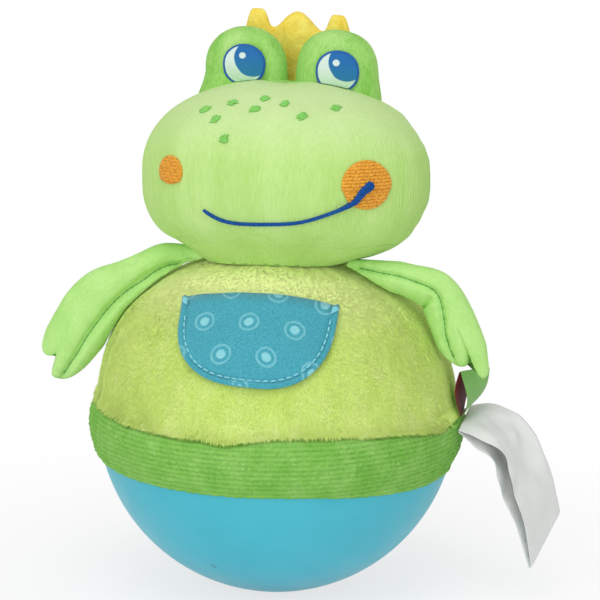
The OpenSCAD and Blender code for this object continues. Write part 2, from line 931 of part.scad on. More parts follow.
// A stuffed arm: a flat form that stands out from the body along its middle line and ends in two lobes
module arm(root, path_shares, width_shares) {
    path = [for (share = path_shares) root + arm_len * share];
    rows = [for (i = [0 : arm_steps]) i / arm_steps];
    layers = [
        for (face = [1, -1])
            [
                for (row = rows)
                    [
                        for (j = [0 : len(arm_columns) - 1])
                            let (
                                place = row * paw_end_shares[j],
                                middle = along(path, place),
                                ahead = along(path, place + 1 / arm_steps),
                                behind = along(path, place - 1 / arm_steps),
                                tangent = unit(ahead - behind),
                                radial = middle - [0, 0, ball_z],
                                across = unit(radial - (radial * tangent) * tangent),
                                depth = cross(tangent, across),
                                k = arm_columns[j],
                                half = arm_w / 2 * along(width_shares, place),
                                plump = sqrt(1 - k * k) * sqrt(1 - pow(row, 6)),
                                thick = edge_t + (arm_t - edge_t) * along(arm_depth_shares, place) * plump
                            )
                            clear_of_body(
                                middle + across * half * k + depth * face * thick / 2,
                                seat_gap + arm_lift_share * arm_len * place
                            )
                    ]
            ]
    ];
    slab(layers[0], layers[1]);
}

module left_arm() {
    color(leaf_green)
        arm(shoulder(-1, left_shoulder_y_share), left_arm_shares, left_arm_width_shares);
}

module right_arm() {
    color(leaf_green)
        arm(shoulder(1, right_shoulder_y_share), right_arm_shares, right_arm_width_shares);
}

// Labels

// A tape folded double: out along one leaf, round the fold and back along the other
module folded_tape(root, bend, end, root_across, tip_across, width, gap) {
    leaf = [for (i = [0 : tape_steps]) i / tape_steps];
    turn = concat(
        [for (f = leaf) [f, 0]],
        [[1, 90]],
        [for (f = reversed(leaf)) [f, 180]]
    );
    layers = [
        for (face = [1, -1])
            [
                for (t = turn)
                    let (
                        f = t[0],
                        middle = bent(root, bend, end, f),
                        tangent = unit(2 * (1 - f) * (bend - root) + 2 * f * (end - bend)),
                        across = unit((1 - f) * root_across + f * tip_across),
                        up = unit(cross(tangent, across)),
                        apart = tape_root_gap * (1 - f) + tape_fold_gap * f + gap * sin(180 * f),
                        out = up * cos(t[1]) + tangent * sin(t[1])
                    )
                    [
                        for (k = [-1, 0, 1])
                            middle + out * (apart + face * tape_t) / 2 + across * width / 2 * k
                    ]
            ]
    ];
    slab(layers[0], layers[1]);
}

// A point on the band's outside at an angle round from the front
function band_point(angle, z) =
    let (r = band_r(z) + tape_root_gap + tape_t / 2)
    [r * sin(angle), -r * cos(angle), z];

module care_label() {
    root = band_point(label_angle, label_z);
    color(white)
        folded_tape(
            root,
            root + label_len * label_bend_shares,
            root + label_len * label_end_shares,
            label_root_shares,
            label_tip_shares,
            label_w,
            label_gap
        );
}

module ribbon_label() {
    root = band_point(ribbon_angle, ribbon_z);
    color(grass_green)
        folded_tape(
            root,
            root + ribbon_len * ribbon_bend_shares,
            root + ribbon_len * ribbon_end_shares,
            -[0, 1, 0],
            -[0, 1, 0],
            ribbon_w,
            ribbon_gap
        );
}

base_bowl();
ballast_weight();
ballast_screws();
chime_carrier();
chime_rod(0);  // chime_rod_1
chime_rod(1);  // chime_rod_2
chime_rod(2);  // chime_rod_3
chime_rod(3);  // chime_rod_4
chime_striker();
striker_pin();
base_lid();
lid_screws();
hem_cord();
body_filling();
body_front_cover();
body_back_cover();
body_band();
pocket();
head_filling();
face_cover();
head_back_cover();
left_eye_dome();
right_eye_dome();
left_eye();
right_eye();
crown();
left_cheek();
right_cheek();
mouth();
freckles();
left_arm();
right_arm();
care_label();
ribbon_label();
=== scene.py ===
"""Looks of the roly poly frog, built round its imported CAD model."""
import math

import bpy
import bmesh
import numpy as np
from mathutils import Matrix, Vector


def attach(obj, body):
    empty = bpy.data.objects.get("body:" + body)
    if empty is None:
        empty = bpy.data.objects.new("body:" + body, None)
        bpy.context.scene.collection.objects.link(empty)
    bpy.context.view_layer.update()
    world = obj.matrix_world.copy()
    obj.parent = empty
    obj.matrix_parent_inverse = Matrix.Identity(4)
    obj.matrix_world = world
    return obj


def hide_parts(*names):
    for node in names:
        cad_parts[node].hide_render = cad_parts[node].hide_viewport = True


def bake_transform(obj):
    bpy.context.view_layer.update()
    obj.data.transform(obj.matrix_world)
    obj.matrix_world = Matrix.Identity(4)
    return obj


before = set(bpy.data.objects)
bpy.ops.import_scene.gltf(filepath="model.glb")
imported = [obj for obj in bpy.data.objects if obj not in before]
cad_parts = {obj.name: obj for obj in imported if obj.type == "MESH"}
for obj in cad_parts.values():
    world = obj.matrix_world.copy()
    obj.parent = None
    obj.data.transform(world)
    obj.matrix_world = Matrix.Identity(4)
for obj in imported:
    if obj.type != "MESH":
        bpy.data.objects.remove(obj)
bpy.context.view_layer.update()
scene = bpy.context.scene

# Camera, fitted to the ball's outline and the rim in the photograph

target = Vector((0, 0, 0.088))
camera = bpy.data.objects.new("camera", bpy.data.cameras.new("camera"))
camera.location = (0.13746, -0.86786, 0.28275)
camera.rotation_euler = (target - camera.location).to_track_quat("-Z", "Y").to_euler()
camera.data.sensor_width = 36
camera.data.lens = 177.33
camera.data.shift_x = 0.0383
camera.data.shift_y = 0.0086
scene.collection.objects.link(camera)
scene.camera = camera
scene.view_settings.view_transform = "Standard"

# Sizes of the solids, in millimetres

MM = 0.001
BALL_R, BALL_Z = 55.0, 54.415
RIM_Z, BAND_Z, BAND_BULGE = 42.618, 59.415, 1.6
BODY_R, BODY_H, BODY_FULL = 56.0, 52.0, 2.15
POCKET_W, POCKET_TOP, POCKET_DROP = 46.0, 97.415, 22.5
HEAD_W, FACE_D, NAPE_D, BROW_H, CHIN_H = 87.0, 30.0, 27.0, 28.2, 23.5
BROW_FULL, CHIN_FULL, HEAD_FULL = 2.28, 3.27, 2.2
HEAD_AT, HEAD_TURN = np.array([2.3, 0, 128.715]), -6.0
NOD_ROOM, SEAT_GAP, LAYER_GAP = 7.0, 0.35, 0.2
DOME_X, DOME_BACK, DOME_Z, DOME_FULL = 13.65, 8.5, 30.0, 2.3
DOME_HALF_W, DOME_HALF_D, DOME_H = 13.3, 8.0, 13.3
TERRY_PITCH, CHEEK_PITCH = 1.45, 1.0


# Numbers

def power(v, p):
    return np.sign(v) * np.abs(v) ** p


def sind(a):
    return np.sin(np.radians(a))


def cosd(a):
    return np.cos(np.radians(a))


def unit(v):
    return v / np.maximum(np.linalg.norm(v, axis=-1, keepdims=True), 1e-9)


def xyz(x, y, z):
    return np.stack([x, y, z], -1)


def smooth(low, high, v):
    """0 below low, 1 above high, and a soft step between."""
    t = np.clip((v - low) / (high - low), 0, 1)
    return t * t * (3 - 2 * t)


def hump(v, width):
    """1 where v is 0, falling softly to nothing at a distance of about width."""
    return np.exp(-(v / width) ** 2)


def round_edge(v, full):
    """1 in the middle, rounded off to 0 where v is 1 or -1; steeper when fuller."""
    return np.clip(1 - np.abs(v) ** full, 0, 1) ** 0.5


def eased(values, times):
    """The same values, each drawn toward its neighbours some times, with both ends kept."""
    for _ in range(times):
        values[1:-1] = (values[:-2] + 2 * values[1:-1] + values[2:]) / 4
    return values


def lengths(line):
    """How far along a line, or along each column of a grid, its points lie."""
    step = np.linalg.norm(np.diff(line, axis=0), axis=-1)
    return np.concatenate([0 * step[:1], np.cumsum(step, 0)])


def bow(start, bend, end, f):
    """A line bowed toward a bend, at shares of its run from 0 to 1."""
    return (1 - f) ** 2 * start + 2 * f * (1 - f) * bend + f ** 2 * end


def along(points, place):
    """A smooth line through points, at places from 0 to 1."""
    points = np.asarray(points, float)
    place = np.asarray(place, float)
    last = len(points) - 1
    at = np.clip(place, 0, 1) * last
    i = np.minimum(np.floor(at).astype(int), last - 1)
    f = (at - i).reshape(at.shape + (1,) * (points.ndim - 1))
    a, b = points[np.maximum(i - 1, 0)], points[i]
    c, d = points[i + 1], points[np.minimum(i + 2, last)]
    return (b + f * (c - a) / 2 + f * f * (a - 2.5 * b + 2 * c - d / 2)
            + f ** 3 * (3 * (b - c) + d - a) / 2)


def lumps(p, size, seed):
    """Smooth noise from -1 to 1 at points, one lump about every size mm."""
    cells = 32
    table = np.random.default_rng(seed).uniform(-1, 1, (cells, cells, cells))
    q = np.asarray(p) / size
    i = np.floor(q).astype(int)
    f = q - i
    f = f * f * (3 - 2 * f)
    out = 0
    for corner in np.ndindex(2, 2, 2):
        x, y, z = np.moveaxis(np.abs(1 - np.array(corner) - f), -1, 0)
        out = out + x * y * z * table[tuple(np.moveaxis((i + corner) % cells, -1, 0))]
    return out


# Forms of the solids

def round_point(r, az, z):
    """Points at a radius and a height, by angles round from the front."""
    return xyz(r * sind(az), -r * cosd(az), z)


def turned(p, angle):
    """Points turned about the upright axis."""
    c, s = cosd(angle), sind(angle)
    x, y, z = np.moveaxis(p, -1, 0)
    return xyz(x * c - y * s, x * s + y * c, z)


def body_top_z(r):
    """Height of the body's top at a radius."""
    share = np.clip(1 - (np.minimum(r, BODY_R) / BODY_R) ** BODY_FULL, 0, 1)
    return BALL_Z + BODY_H * share ** (1 / BODY_FULL)


def body_side_r(z):
    """Radius of the body at a height."""
    share = np.clip((z - BALL_Z) / BODY_H, 0, 1)
    return BODY_R * (1 - share ** BODY_FULL) ** (1 / BODY_FULL)


def band_r(z):
    """Radius of the band at a height."""
    share = np.clip((z - RIM_Z) / (BAND_Z - RIM_Z), 0, 1)
    return np.sqrt(BODY_R ** 2 - (z - BALL_Z) ** 2) + BAND_BULGE * np.sqrt(np.abs(sind(180 * share)))


def clear_of_body(p, gap):
    """Points moved out until they clear the body by a gap."""
    v = p - [0, 0, BALL_Z]
    flat = np.linalg.norm(v[..., :2], axis=-1)
    above = ((flat / (BODY_R + gap)) ** BODY_FULL
             + (np.maximum(v[..., 2], 0) / (BODY_H + gap)) ** BODY_FULL) ** (1 / BODY_FULL)
    out = np.where(v[..., 2] > 0, above, np.linalg.norm(v, axis=-1) / (BODY_R + gap))
    return np.where((out < 1)[..., None], v / out[..., None] + [0, 0, BALL_Z], p)


def head_form(az, el, inset=0.0):
    """A point of the head in its own frame, by angles round from the face and up."""
    full = np.where(el < 0, CHIN_FULL, BROW_FULL)
    ring = np.abs(cosd(el)) ** (2 / full)
    side, front = power(sind(az), 2 / HEAD_FULL), power(cosd(az), 2 / HEAD_FULL)
    depth = np.where(front < 0, NAPE_D, FACE_D) - inset
    height = np.where(el < 0, CHIN_H, BROW_H) - inset
    return xyz((HEAD_W / 2 - inset) * side * ring, -depth * front * ring, height * power(sind(el), 2 / full))


def in_place(p):
    """A point of the head's own frame, put in place."""
    return turned(p, HEAD_TURN) + HEAD_AT


def head_point(az, el, inset=0.0):
    """A point of the head's form, kept above the body with room to nod."""
    p = head_form(np.asarray(az, float), np.asarray(el, float), inset)
    q = in_place(p)
    low = (body_top_z(np.hypot(q[..., 0], q[..., 1])) + SEAT_GAP
           + np.abs(q[..., 1]) * math.tan(math.radians(NOD_ROOM)) + inset)
    q[..., 2] = np.where(p[..., 2] < 0, np.maximum(q[..., 2], low), q[..., 2])
    return q


def head_el(z):
    """The angle up the head's form at a height from its middle."""
    return np.where(z < 0, -np.degrees(np.arcsin(np.clip(-z / CHIN_H, 0, 1) ** (CHIN_FULL / 2))),
                    np.degrees(np.arcsin(np.clip(z / BROW_H, 0, 1) ** (BROW_FULL / 2))))


def head_normal(az, el):
    """Unit normals of the head's form."""
    return unit(np.cross(head_point(az + 1, el) - head_point(az - 1, el),
                         head_point(az, el + 1) - head_point(az, el - 1)))


def brow_z(x, y):
    """Height of the brow in the head's own frame."""
    ring = (2 * np.abs(x) / HEAD_W) ** HEAD_FULL + (np.abs(y) / np.where(y < 0, FACE_D, NAPE_D)) ** HEAD_FULL
    return BROW_H * np.clip(1 - np.clip(ring, 0, 1) ** (BROW_FULL / HEAD_FULL), 0, 1) ** (1 / BROW_FULL)


def above_brow(p):
    """Points of the head's own frame kept above the brow, put in place."""
    x, y, z = np.moveaxis(p, -1, 0)
    return in_place(xyz(x, y, np.maximum(z, brow_z(x, y) + SEAT_GAP)))


def dome_form(side, az, el, inset=0.0):
    """A point of an eye dome in the head's own frame; side is -1 on the left and 1 on the right."""
    ring = np.where(el < 0, 1, np.abs(cosd(el)) ** (2 / DOME_FULL))
    rise = np.where(el < 0, sind(el), np.abs(sind(el)) ** (2 / DOME_FULL))
    return xyz(side * DOME_X + (DOME_HALF_W - inset) * sind(az) * ring,
               DOME_BACK - (DOME_HALF_D - inset) * cosd(az) * ring, DOME_Z + (DOME_H - inset) * rise)


# Meshes

def grid_faces(rows, cols, wrap=False, start=0):
    """Faces of a grid of points; with wrap the last column meets the first."""
    i, j = np.arange(rows - 1)[:, None], np.arange(cols if wrap else cols - 1)
    k = (j + 1) % cols
    faces = np.stack([i * cols + j, i * cols + k, (i + 1) * cols + k, (i + 1) * cols + j], -1)
    return faces.reshape(-1, 4) + start


def add_mesh(name, points, faces, look, uv=None, normals=None, tidy_normals=True):
    """A mesh object from points in mm and lists of faces."""
    mesh = bpy.data.meshes.new(name)
    mesh.from_pydata((np.asarray(points).reshape(-1, 3) * MM).tolist(), [], faces)
    if tidy_normals:
        work = bmesh.new()
        work.from_mesh(mesh)
        bmesh.ops.recalc_face_normals(work, faces=work.faces)
        work.to_mesh(mesh)
        work.free()
    mesh.polygons.foreach_set("use_smooth", np.ones(len(mesh.polygons), bool))
    if uv is not None:
        loops = np.zeros(len(mesh.loops), np.int32)
        mesh.loops.foreach_get("vertex_index", loops)
        mesh.uv_layers.new(name="print").data.foreach_set("uv", np.asarray(uv)[loops].ravel())
    if normals is not None:
        mesh.normals_split_custom_set_from_vertices(np.asarray(normals).tolist())
    if look:
        mesh.materials.append(look.material)
    mesh.update()
    obj = bpy.data.objects.new(name, mesh)
    scene.collection.objects.link(obj)
    return obj


def closed_faces(rows, cols):
    """Faces of rings of points, closed by a point below the first and one above the last."""
    j = np.arange(cols)
    k = (j + 1) % cols
    low, last = rows * cols, (rows - 1) * cols
    ends = np.concatenate([np.stack([k, j, np.full(cols, low)], -1),
                           np.stack([last + j, last + k, np.full(cols, low + 1)], -1)])
    return grid_faces(rows, cols, True).tolist() + ends.tolist()


def closed_mesh(name, grid, look):
    """Rings of points as a mesh that is closed at both ends."""
    points = np.concatenate([grid.reshape(-1, 3), [grid[0].mean(0)], [grid[-1].mean(0)]])
    return add_mesh(name, points, closed_faces(*grid.shape[:2]), look)


def ring_mesh(name, loop, look):
    """Rows of points that run round and meet again in both directions."""
    rows, cols = loop.shape[:2]
    j, last = np.arange(cols), (rows - 1) * cols
    k = (j + 1) % cols
    close = np.stack([last + j, last + k, k, j], -1)
    return add_mesh(name, loop, grid_faces(rows, cols, True).tolist() + close.tolist(), look)


def slab_mesh(name, front, back, look, uv=None, uv_back=None):
    """A thick sheet between two grids of points."""
    rows, cols = front.shape[:2]
    under = rows * cols
    faces = grid_faces(rows, cols).tolist() + grid_faces(rows, cols, start=under)[:, ::-1].tolist()
    i, j = np.arange(rows - 1), np.arange(cols - 1)
    for a, b in ((i * cols, (i + 1) * cols), (i * cols + cols - 1, (i + 1) * cols + cols - 1),
                 (j, j + 1), ((rows - 1) * cols + j, (rows - 1) * cols + j + 1)):
        faces += np.stack([a, b, b + under, a + under], -1).tolist()
    if uv is not None:
        uv = np.concatenate([uv.reshape(-1, 2), (uv if uv_back is None else uv_back).reshape(-1, 2)])
    return add_mesh(name, np.concatenate([front.reshape(-1, 3), back.reshape(-1, 3)]), faces, look, uv=uv)


def grid_normals(grid, wrap=False):
    """Unit normals of a grid of points, from its rows and columns."""
    if wrap:
        across = np.roll(grid, -1, 1) - np.roll(grid, 1, 1)
    else:
        across = np.gradient(grid, axis=1)
    return unit(np.cross(across, np.gradient(grid, axis=0)))


def outward(normals, grid, middle=None):
    """The same normals, turned so that they point away from the middle of the grid."""
    middle = grid.reshape(-1, 3).mean(0) if middle is None else middle
    away = (normals * (grid - middle)).sum(-1).mean()
    return normals if away > 0 else -normals


def thread_mesh(name, starts, ends, normals, look, radius, rise):
    """Short stitches of thread, each a small closed tube that bows away from the cloth."""
    steps, sides = 6, 6
    f = np.linspace(0, 1, steps)[None, :, None]
    starts, ends, normals = (np.asarray(v, float)[:, None, :] for v in (starts, ends, normals))
    line = starts + (ends - starts) * f + normals * rise * np.sin(np.pi * f)
    tangent = unit(ends - starts)
    side = unit(np.cross(normals, tangent))
    turn = np.linspace(0, 2 * np.pi, sides, endpoint=False)
    girth = radius * np.sqrt(np.clip(1.05 - (2 * f - 1) ** 4, 0, 1))
    rings = (line[:, :, None] + girth[..., None] * (side[:, :, None] * np.cos(turn)[:, None]
                                                    + normals[:, :, None] * np.sin(turn)[:, None]))
    block = np.concatenate([rings.reshape(len(rings), -1, 3), line[:, :1], line[:, -1:]], 1)
    one = closed_faces(steps, sides)
    size = block.shape[1]
    faces = [[v + n * size for v in face] for n in range(len(block)) for face in one]
    return add_mesh(name, block.reshape(-1, 3), faces, look)


def run_stitches(line, normals, pitch, share, wander, seed):
    """Starts, ends and normals of stitches that run along a line of points."""
    at = lengths(line)
    first = np.arange(pitch / 2, at[-1] - pitch * share, pitch)
    first = first + np.random.default_rng(seed).uniform(-wander, wander, len(first)) * pitch

    def pick(values, s):
        return np.stack([np.interp(s, at, values[:, c]) for c in range(3)], -1)
    return pick(line, first), pick(line, first + pitch * share), unit(pick(normals, first + pitch * share / 2))


SIM_SCALE, SIM_FRAMES, SIM_PRESSURE = 10.0, 20, 4.0


def inflate(grid, held, every, cap):
    """Rings of points swollen like stuffed cloth by a pressure simulation, with the held points kept,
    run on every few points and capped in mm."""
    coarse, pins = grid[::every, ::every], held[::every, ::every]
    obj = closed_mesh("swelling", coarse, None)
    obj.data.transform(Matrix.Scale(SIM_SCALE, 4))
    group = obj.vertex_groups.new(name="seam")
    group.add(np.flatnonzero(np.concatenate([pins.ravel(), [True, True]])).tolist(), 1.0, "REPLACE")
    cloth = obj.modifiers.new("cloth", "CLOTH")
    for key, value in (("quality", 5), ("mass", 0.3), ("use_pressure", True),
                       ("uniform_pressure_force", SIM_PRESSURE), ("vertex_group_mass", "seam")):
        setattr(cloth.settings, key, value)
    cloth.settings.effector_weights.gravity = 0
    cloth.collision_settings.use_collision = False
    cloth.point_cache.frame_start, cloth.point_cache.frame_end = 1, SIM_FRAMES
    for number in range(1, SIM_FRAMES + 1):
        scene.frame_set(number)
    swollen = obj.evaluated_get(bpy.context.evaluated_depsgraph_get()).to_mesh()
    points = np.zeros(len(swollen.vertices) * 3)
    swollen.vertices.foreach_get("co", points)
    bpy.data.objects.remove(obj)
    scene.frame_set(1)
    move = points.reshape(-1, 3)[:-2].reshape(coarse.shape) / (SIM_SCALE * MM) - coarse
    length = np.linalg.norm(move, axis=-1, keepdims=True)
    move = move * np.minimum(1, cap / np.maximum(length, 1e-9))
    move = along(move, np.linspace(0, 1, grid.shape[0]))
    looped = np.concatenate([move, move[:, :1]], 1).transpose(1, 0, 2)
    move = along(looped, np.arange(grid.shape[1]) / grid.shape[1]).transpose(1, 0, 2)
    return grid + move


# Materials

def srgb(*colour):
    """A colour as it shows, from 0 to 255, as the linear numbers that shaders take."""
    c = np.array(colour) / 255
    linear = np.where(c <= 0.04045, c / 12.92, ((c + 0.055) / 1.055) ** 2.4)
    return (*linear.tolist(), 1.0)


class Look:
    """A procedural material, or the world's, under construction."""

    def __init__(self, name, world=None, **sockets):
        self.material = world or bpy.data.materials.new(name)
        self.material.use_nodes = True
        self.nodes, self.links = self.material.node_tree.nodes, self.material.node_tree.links
        self.shader = self.nodes["Background" if world else "Principled BSDF"]
        for key, value in sockets.items():
            self.set(key.replace("_", " "), value)

    def put(self, socket, value):
        if isinstance(value, bpy.types.NodeSocket):
            self.links.new(value, socket)
        else:
            socket.default_value = value

    def set(self, socket, value):
        self.put(self.shader.inputs[socket], value)

    def add(self, kind, inputs=None, out=0, **settings):
        node = self.nodes.new("ShaderNode" + kind)
        for key, value in settings.items():
            setattr(node, key, value)
        for key, value in (inputs or {}).items():
            self.put(node.inputs[key], value)
        return node.outputs[out]

    def flat(self):
        """The coordinates that a piece's own cloth has when it lies flat."""
        return self.add("TexCoord", out=2)

    def place(self, stretch=(1, 1, 1)):
        """Object coordinates in mm, stretched."""
        return self.add("Mapping", {"Vector": self.add("TexCoord", out=3),
                                    "Scale": tuple(s / MM for s in stretch)})

    def split(self, vector):
        """The x, y and z of a vector."""
        node = self.nodes.new("ShaderNodeSeparateXYZ")
        self.put(node.inputs[0], vector)
        return node.outputs

    def under(self, socket):
        """What feeds a socket of the shader so far."""
        return self.shader.inputs[socket].links[0].from_socket

    def noise(self, size, detail=2.0, rough=0.5, stretch=(1, 1, 1)):
        """Noise with features of a size in mm."""
        return self.add("TexNoise", {"Vector": self.place(stretch), "Scale": 1 / size,
                                     "Detail": detail, "Roughness": rough})

    def waves(self, direction, scale, distortion):
        """Threads that run along or across a tape."""
        return self.add("TexWave", {"Vector": self.flat(), "Scale": scale, "Distortion": distortion},
                        bands_direction=direction, out=1)

    def math(self, operation, a, b=0.0):
        return self.add("Math", {0: a, 1: b}, operation=operation)

    def plus(self, a, b):
        return self.math("ADD", a, b)

    def minus(self, a, b):
        return self.math("SUBTRACT", a, b)

    def times(self, a, b):
        return self.math("MULTIPLY", a, b)

    def far(self, u, v):
        """How far flat coordinates lie from their middle."""
        return self.math("SQRT", self.plus(self.times(u, u), self.times(v, v)))

    def seen(self):
        """1 for rays that reach the camera, straight, by a glossy face or through a clear one."""
        rays = self.nodes.new("ShaderNodeLightPath").outputs
        return self.math("MAXIMUM", rays["Is Camera Ray"], self.math(
            "MAXIMUM", rays["Is Glossy Ray"], rays["Is Transmission Ray"]))

    def ramp(self, value, *stops):
        node = self.nodes.new("ShaderNodeValToRGB")
        while len(node.color_ramp.elements) < len(stops):
            node.color_ramp.elements.new(0.5)
        for element, (at, colour) in zip(node.color_ramp.elements, stops):
            element.position = at
            element.color = colour
        self.put(node.inputs[0], value)
        return node.outputs[0]

    def range(self, value, low, high, to_low=0.0, to_high=1.0):
        return self.add("MapRange", {"Value": value, "From Min": low, "From Max": high,
                                     "To Min": to_low, "To Max": to_high})

    def mix(self, share, a, b, blend="MIX"):
        return self.add("Mix", {0: share, 6: a, 7: b}, out=2, data_type="RGBA", blend_type=blend)

    def rows(self, start, pitch, dark):
        """Painted shade: darkens the colour in the grooves between level rows, from a height in mm."""
        turn = self.times(self.minus(self.split(self.place())[2], start), math.pi / pitch)
        ridge = self.math("POWER", self.math("ABSOLUTE", self.math("SINE", turn)), 0.6)
        shade = self.range(ridge, 0, 1, dark, 1.0)
        groove_shade = self.add("CombineColor", {0: shade, 1: shade, 2: shade})
        self.set("Base Color", self.mix(1.0, self.under("Base Color"), groove_shade, "MULTIPLY"))
        return ridge

    def painted_top_light(self, low, high, colour, share):
        """Painted light: pile coloured paler between two heights in mm, where light from above falls."""
        reach = self.range(self.split(self.place())[2], low, high, 0.0, share)
        self.set("Base Color", self.mix(reach, self.under("Base Color"), srgb(*colour)))

    def bump(self, height, depth, strength=1.0):
        """Relief of a depth in mm, on top of what is there."""
        inputs = {"Height": height, "Distance": depth * MM, "Strength": strength}
        if self.shader.inputs["Normal"].links:
            inputs["Normal"] = self.under("Normal")
        self.set("Normal", self.add("Bump", inputs))
        return self


def cloth_look(name, dark, mid, light, patch, pile, lie, depth, sheen=0.35, rough=0.9):
    """Pile cloth: patches of lighter and darker lie of the pile, and a fine grain, both in mm."""
    look = Look(name, Roughness=rough, Specular_IOR_Level=0.15, Sheen_Weight=sheen, Sheen_Roughness=0.45,
                Sheen_Tint=srgb(*light))
    broad = look.noise(patch, 3, 0.55, (1, 1, lie))
    fine = look.noise(pile, 2, 0.6, (1, 1, lie))
    tone = look.plus(look.times(broad, 0.6), look.times(fine, 0.4))
    look.set("Base Color", look.ramp(tone, (0.36, srgb(*dark)), (0.5, srgb(*mid)), (0.64, srgb(*light))))
    return look.bump(fine, depth)


def thread_look(name, dark, light, grain=0.35, stretch=(1, 1, 1)):
    """Shiny embroidery thread."""
    look = Look(name, Roughness=0.5, Specular_IOR_Level=0.35, Sheen_Weight=0.15)
    fibre = look.noise(grain, 2, 0.6, stretch)
    look.set("Base Color", look.ramp(fibre, (0.3, srgb(*dark)), (0.7, srgb(*light))))
    return look.bump(fibre, 0.06)


plush_look = cloth_look("lime_plush", (189, 220, 100), (201, 230, 114), (213, 238, 132), 7, 1.1, 0.5, 0.15)
fur_look = cloth_look("lime_fur", (213, 241, 118), (222, 248, 134), (233, 253, 154), 6, 0.9, 0.35, 0.05, 0.3)
terry_look = cloth_look("green_terry", (120, 186, 76), (136, 196, 90), (152, 206, 108), 6, 0.6, 1, 0.3)
face_look = cloth_look("pale_velour", (176, 217, 118), (185, 223, 130), (195, 230, 145), 12, 0.7, 0.14, 0.3, 0.45)
velour_look = cloth_look("green_velour", (134, 198, 86), (156, 212, 108), (178, 224, 132), 6, 0.6, 0.3, 0.3)
arm_look = cloth_look("green_jersey", (170, 222, 122), (182, 230, 136), (194, 236, 150), 10, 0.4, 0.5, 0.12,
                      sheen=0.25, rough=0.8)
crown_look = cloth_look("yellow_fleece", (244, 208, 72), (250, 224, 98), (253, 234, 120), 4, 0.6, 0.7, 0.35)
# Painted light: the plush and fur are coloured paler toward the top of the body, where light from above falls.
for look in (plush_look, fur_look):
    look.painted_top_light(86, 99, (245, 255, 174), 0.9)
# Painted light: the face is coloured paler at the brow, where top light and sheen fall.
face_look.painted_top_light(136, 154, (222, 240, 186), 0.6)
# Painted shade in the grooves between the terry's rows of loops.
terry_look.rows(RIM_Z, TERRY_PITCH, 0.82)
neck_thread = thread_look("dark_green_thread", (122, 178, 78), (146, 200, 100))
seam_thread = thread_look("seam_thread", (58, 146, 56), (84, 172, 76))
pocket_thread = thread_look("cyan_thread", (106, 202, 218), (156, 226, 234))
cheek_thread = thread_look("orange_thread", (208, 126, 8), (252, 188, 58), 0.45, (0.6, 1, 2.0))
# Painted shade between the cheek's rows of fill stitch; the same rows also give its bump.
cheek_thread.bump(cheek_thread.rows(0.0, CHEEK_PITCH, 0.8), 0.15)
mouth_thread = thread_look("blue_thread", (4, 50, 116), (24, 96, 176), 0.4)
mouth_thread.set("Sheen Weight", 0.0)
mouth_thread.set("Specular IOR Level", 0.15)
freckle_thread = thread_look("green_thread", (112, 196, 76), (146, 216, 108), 0.3)

# Pieces


def soft(obj, body, slot, *nodes, fill=None):
    """Joins a piece to its body and hides the solids that it stands for."""
    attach(obj, body)
    if nodes:
        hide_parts(*nodes)
    return obj


# Body

EDGE_AZ = [-180, -120, -75, -42, -14.5, -6.6, 6.9, 31, 58, 69, 110, 150, 180]
EDGE_Z = [59.4, 60.2, 60.4, 59.6, 59.3, 58.8, 61.1, 60.6, 57.6, 56.2, 59.2, 60.2, 59.4]
PILE, HEM_Z, NECK_EL, SIDE_SEAM_AZ, LABEL_Y = 1.1, 55.0, 84, 70, -3
FUR_COUNT = 49500


def edge_z(az):
    """Height of the plush's lower edge at angles round from the front."""
    at = xyz(18 * sind(az), 18 * cosd(az), 0 * az)
    return np.interp(az, EDGE_AZ, EDGE_Z) + 0.35 * lumps(at, 2.2, 11)


def body_skin(az, rise, inset):
    """The plush's backing: rise 0 is its lower edge and 1 the neck."""
    low = edge_z(az)
    start = np.degrees(np.arcsin(np.clip((low - BALL_Z) / (BODY_H - inset), 0, 1) ** (BODY_FULL / 2)))
    e = start + (NECK_EL - start) * rise
    r = (BODY_R - inset) * cosd(e) ** (2 / BODY_FULL)
    z = BALL_Z + (BODY_H - inset) * sind(e) ** (2 / BODY_FULL)
    over = band_r(np.clip(z, RIM_Z, BAND_Z)) + 0.5 - inset * 0.4 - 0.3 * np.clip(z - BAND_Z + 1.5, 0, None)
    return round_point(np.maximum(r, np.where(z < BAND_Z + 5, over, 0)), az, z)


def body_relief(p, az):
    """How far the stuffed cover stands out or is drawn in, in mm."""
    flat = np.hypot(p[..., 0], p[..., 1])
    seam = np.abs(np.abs(az) - SIDE_SEAM_AZ) * flat * np.pi / 180
    gather = smooth(34, 20, flat) * np.sin(az * np.pi / 180 * 26 + 2 * lumps(p, 9, 3)) * 0.25
    full = (1.2 * hump(az + 80, 30) + 0.6 * hump(az - 95, 30)) * hump(p[..., 2] - 86, 14)
    return 0.45 * lumps(p, 13, 4) + 0.14 * lumps(p, 5, 5) - 0.7 * hump(seam, 2.2) + 0.6 * gather + full


az, rise = np.meshgrid(np.linspace(-180, 180, 361)[:-1], np.linspace(0, 1, 70))
skin = body_skin(az, rise, PILE)
skin = skin + outward(grid_normals(skin, True), skin) * body_relief(skin, az)[..., None]
roll = skin[:1] * [0.965, 0.965, 1] - [0, 0, 0.6]
floor_ring = roll * [0.9, 0.9, 0] + [0, 0, HEM_Z]
body_plush = closed_mesh("body_plush", np.concatenate([floor_ring, roll, skin]), plush_look)
soft(body_plush, "body", "lime_plush", "body_front_cover", "body_back_cover", "body_filling", fill=0.9)


def pocket_sag(x):
    """How far the pocket's top edge hangs below its middle."""
    return np.where(x < 0, 2.2, 3.2) * np.abs(x / (POCKET_W / 2)) ** 1.6


def pocket_full(x):
    """How square the pocket's lower corner is on either side."""
    return np.where(x < 0, 3.3, 2.75)


def pocket_lean(x, drop):
    """How far the pocket hangs lower to its right."""
    return 0.06 * x * drop / POCKET_DROP


def pocket_z(x, drop):
    """Height of the pocket's cloth, a drop below the middle of its top edge."""
    return POCKET_TOP - drop - (pocket_sag(x) * smooth(POCKET_DROP, 0, drop) + pocket_lean(x, drop))


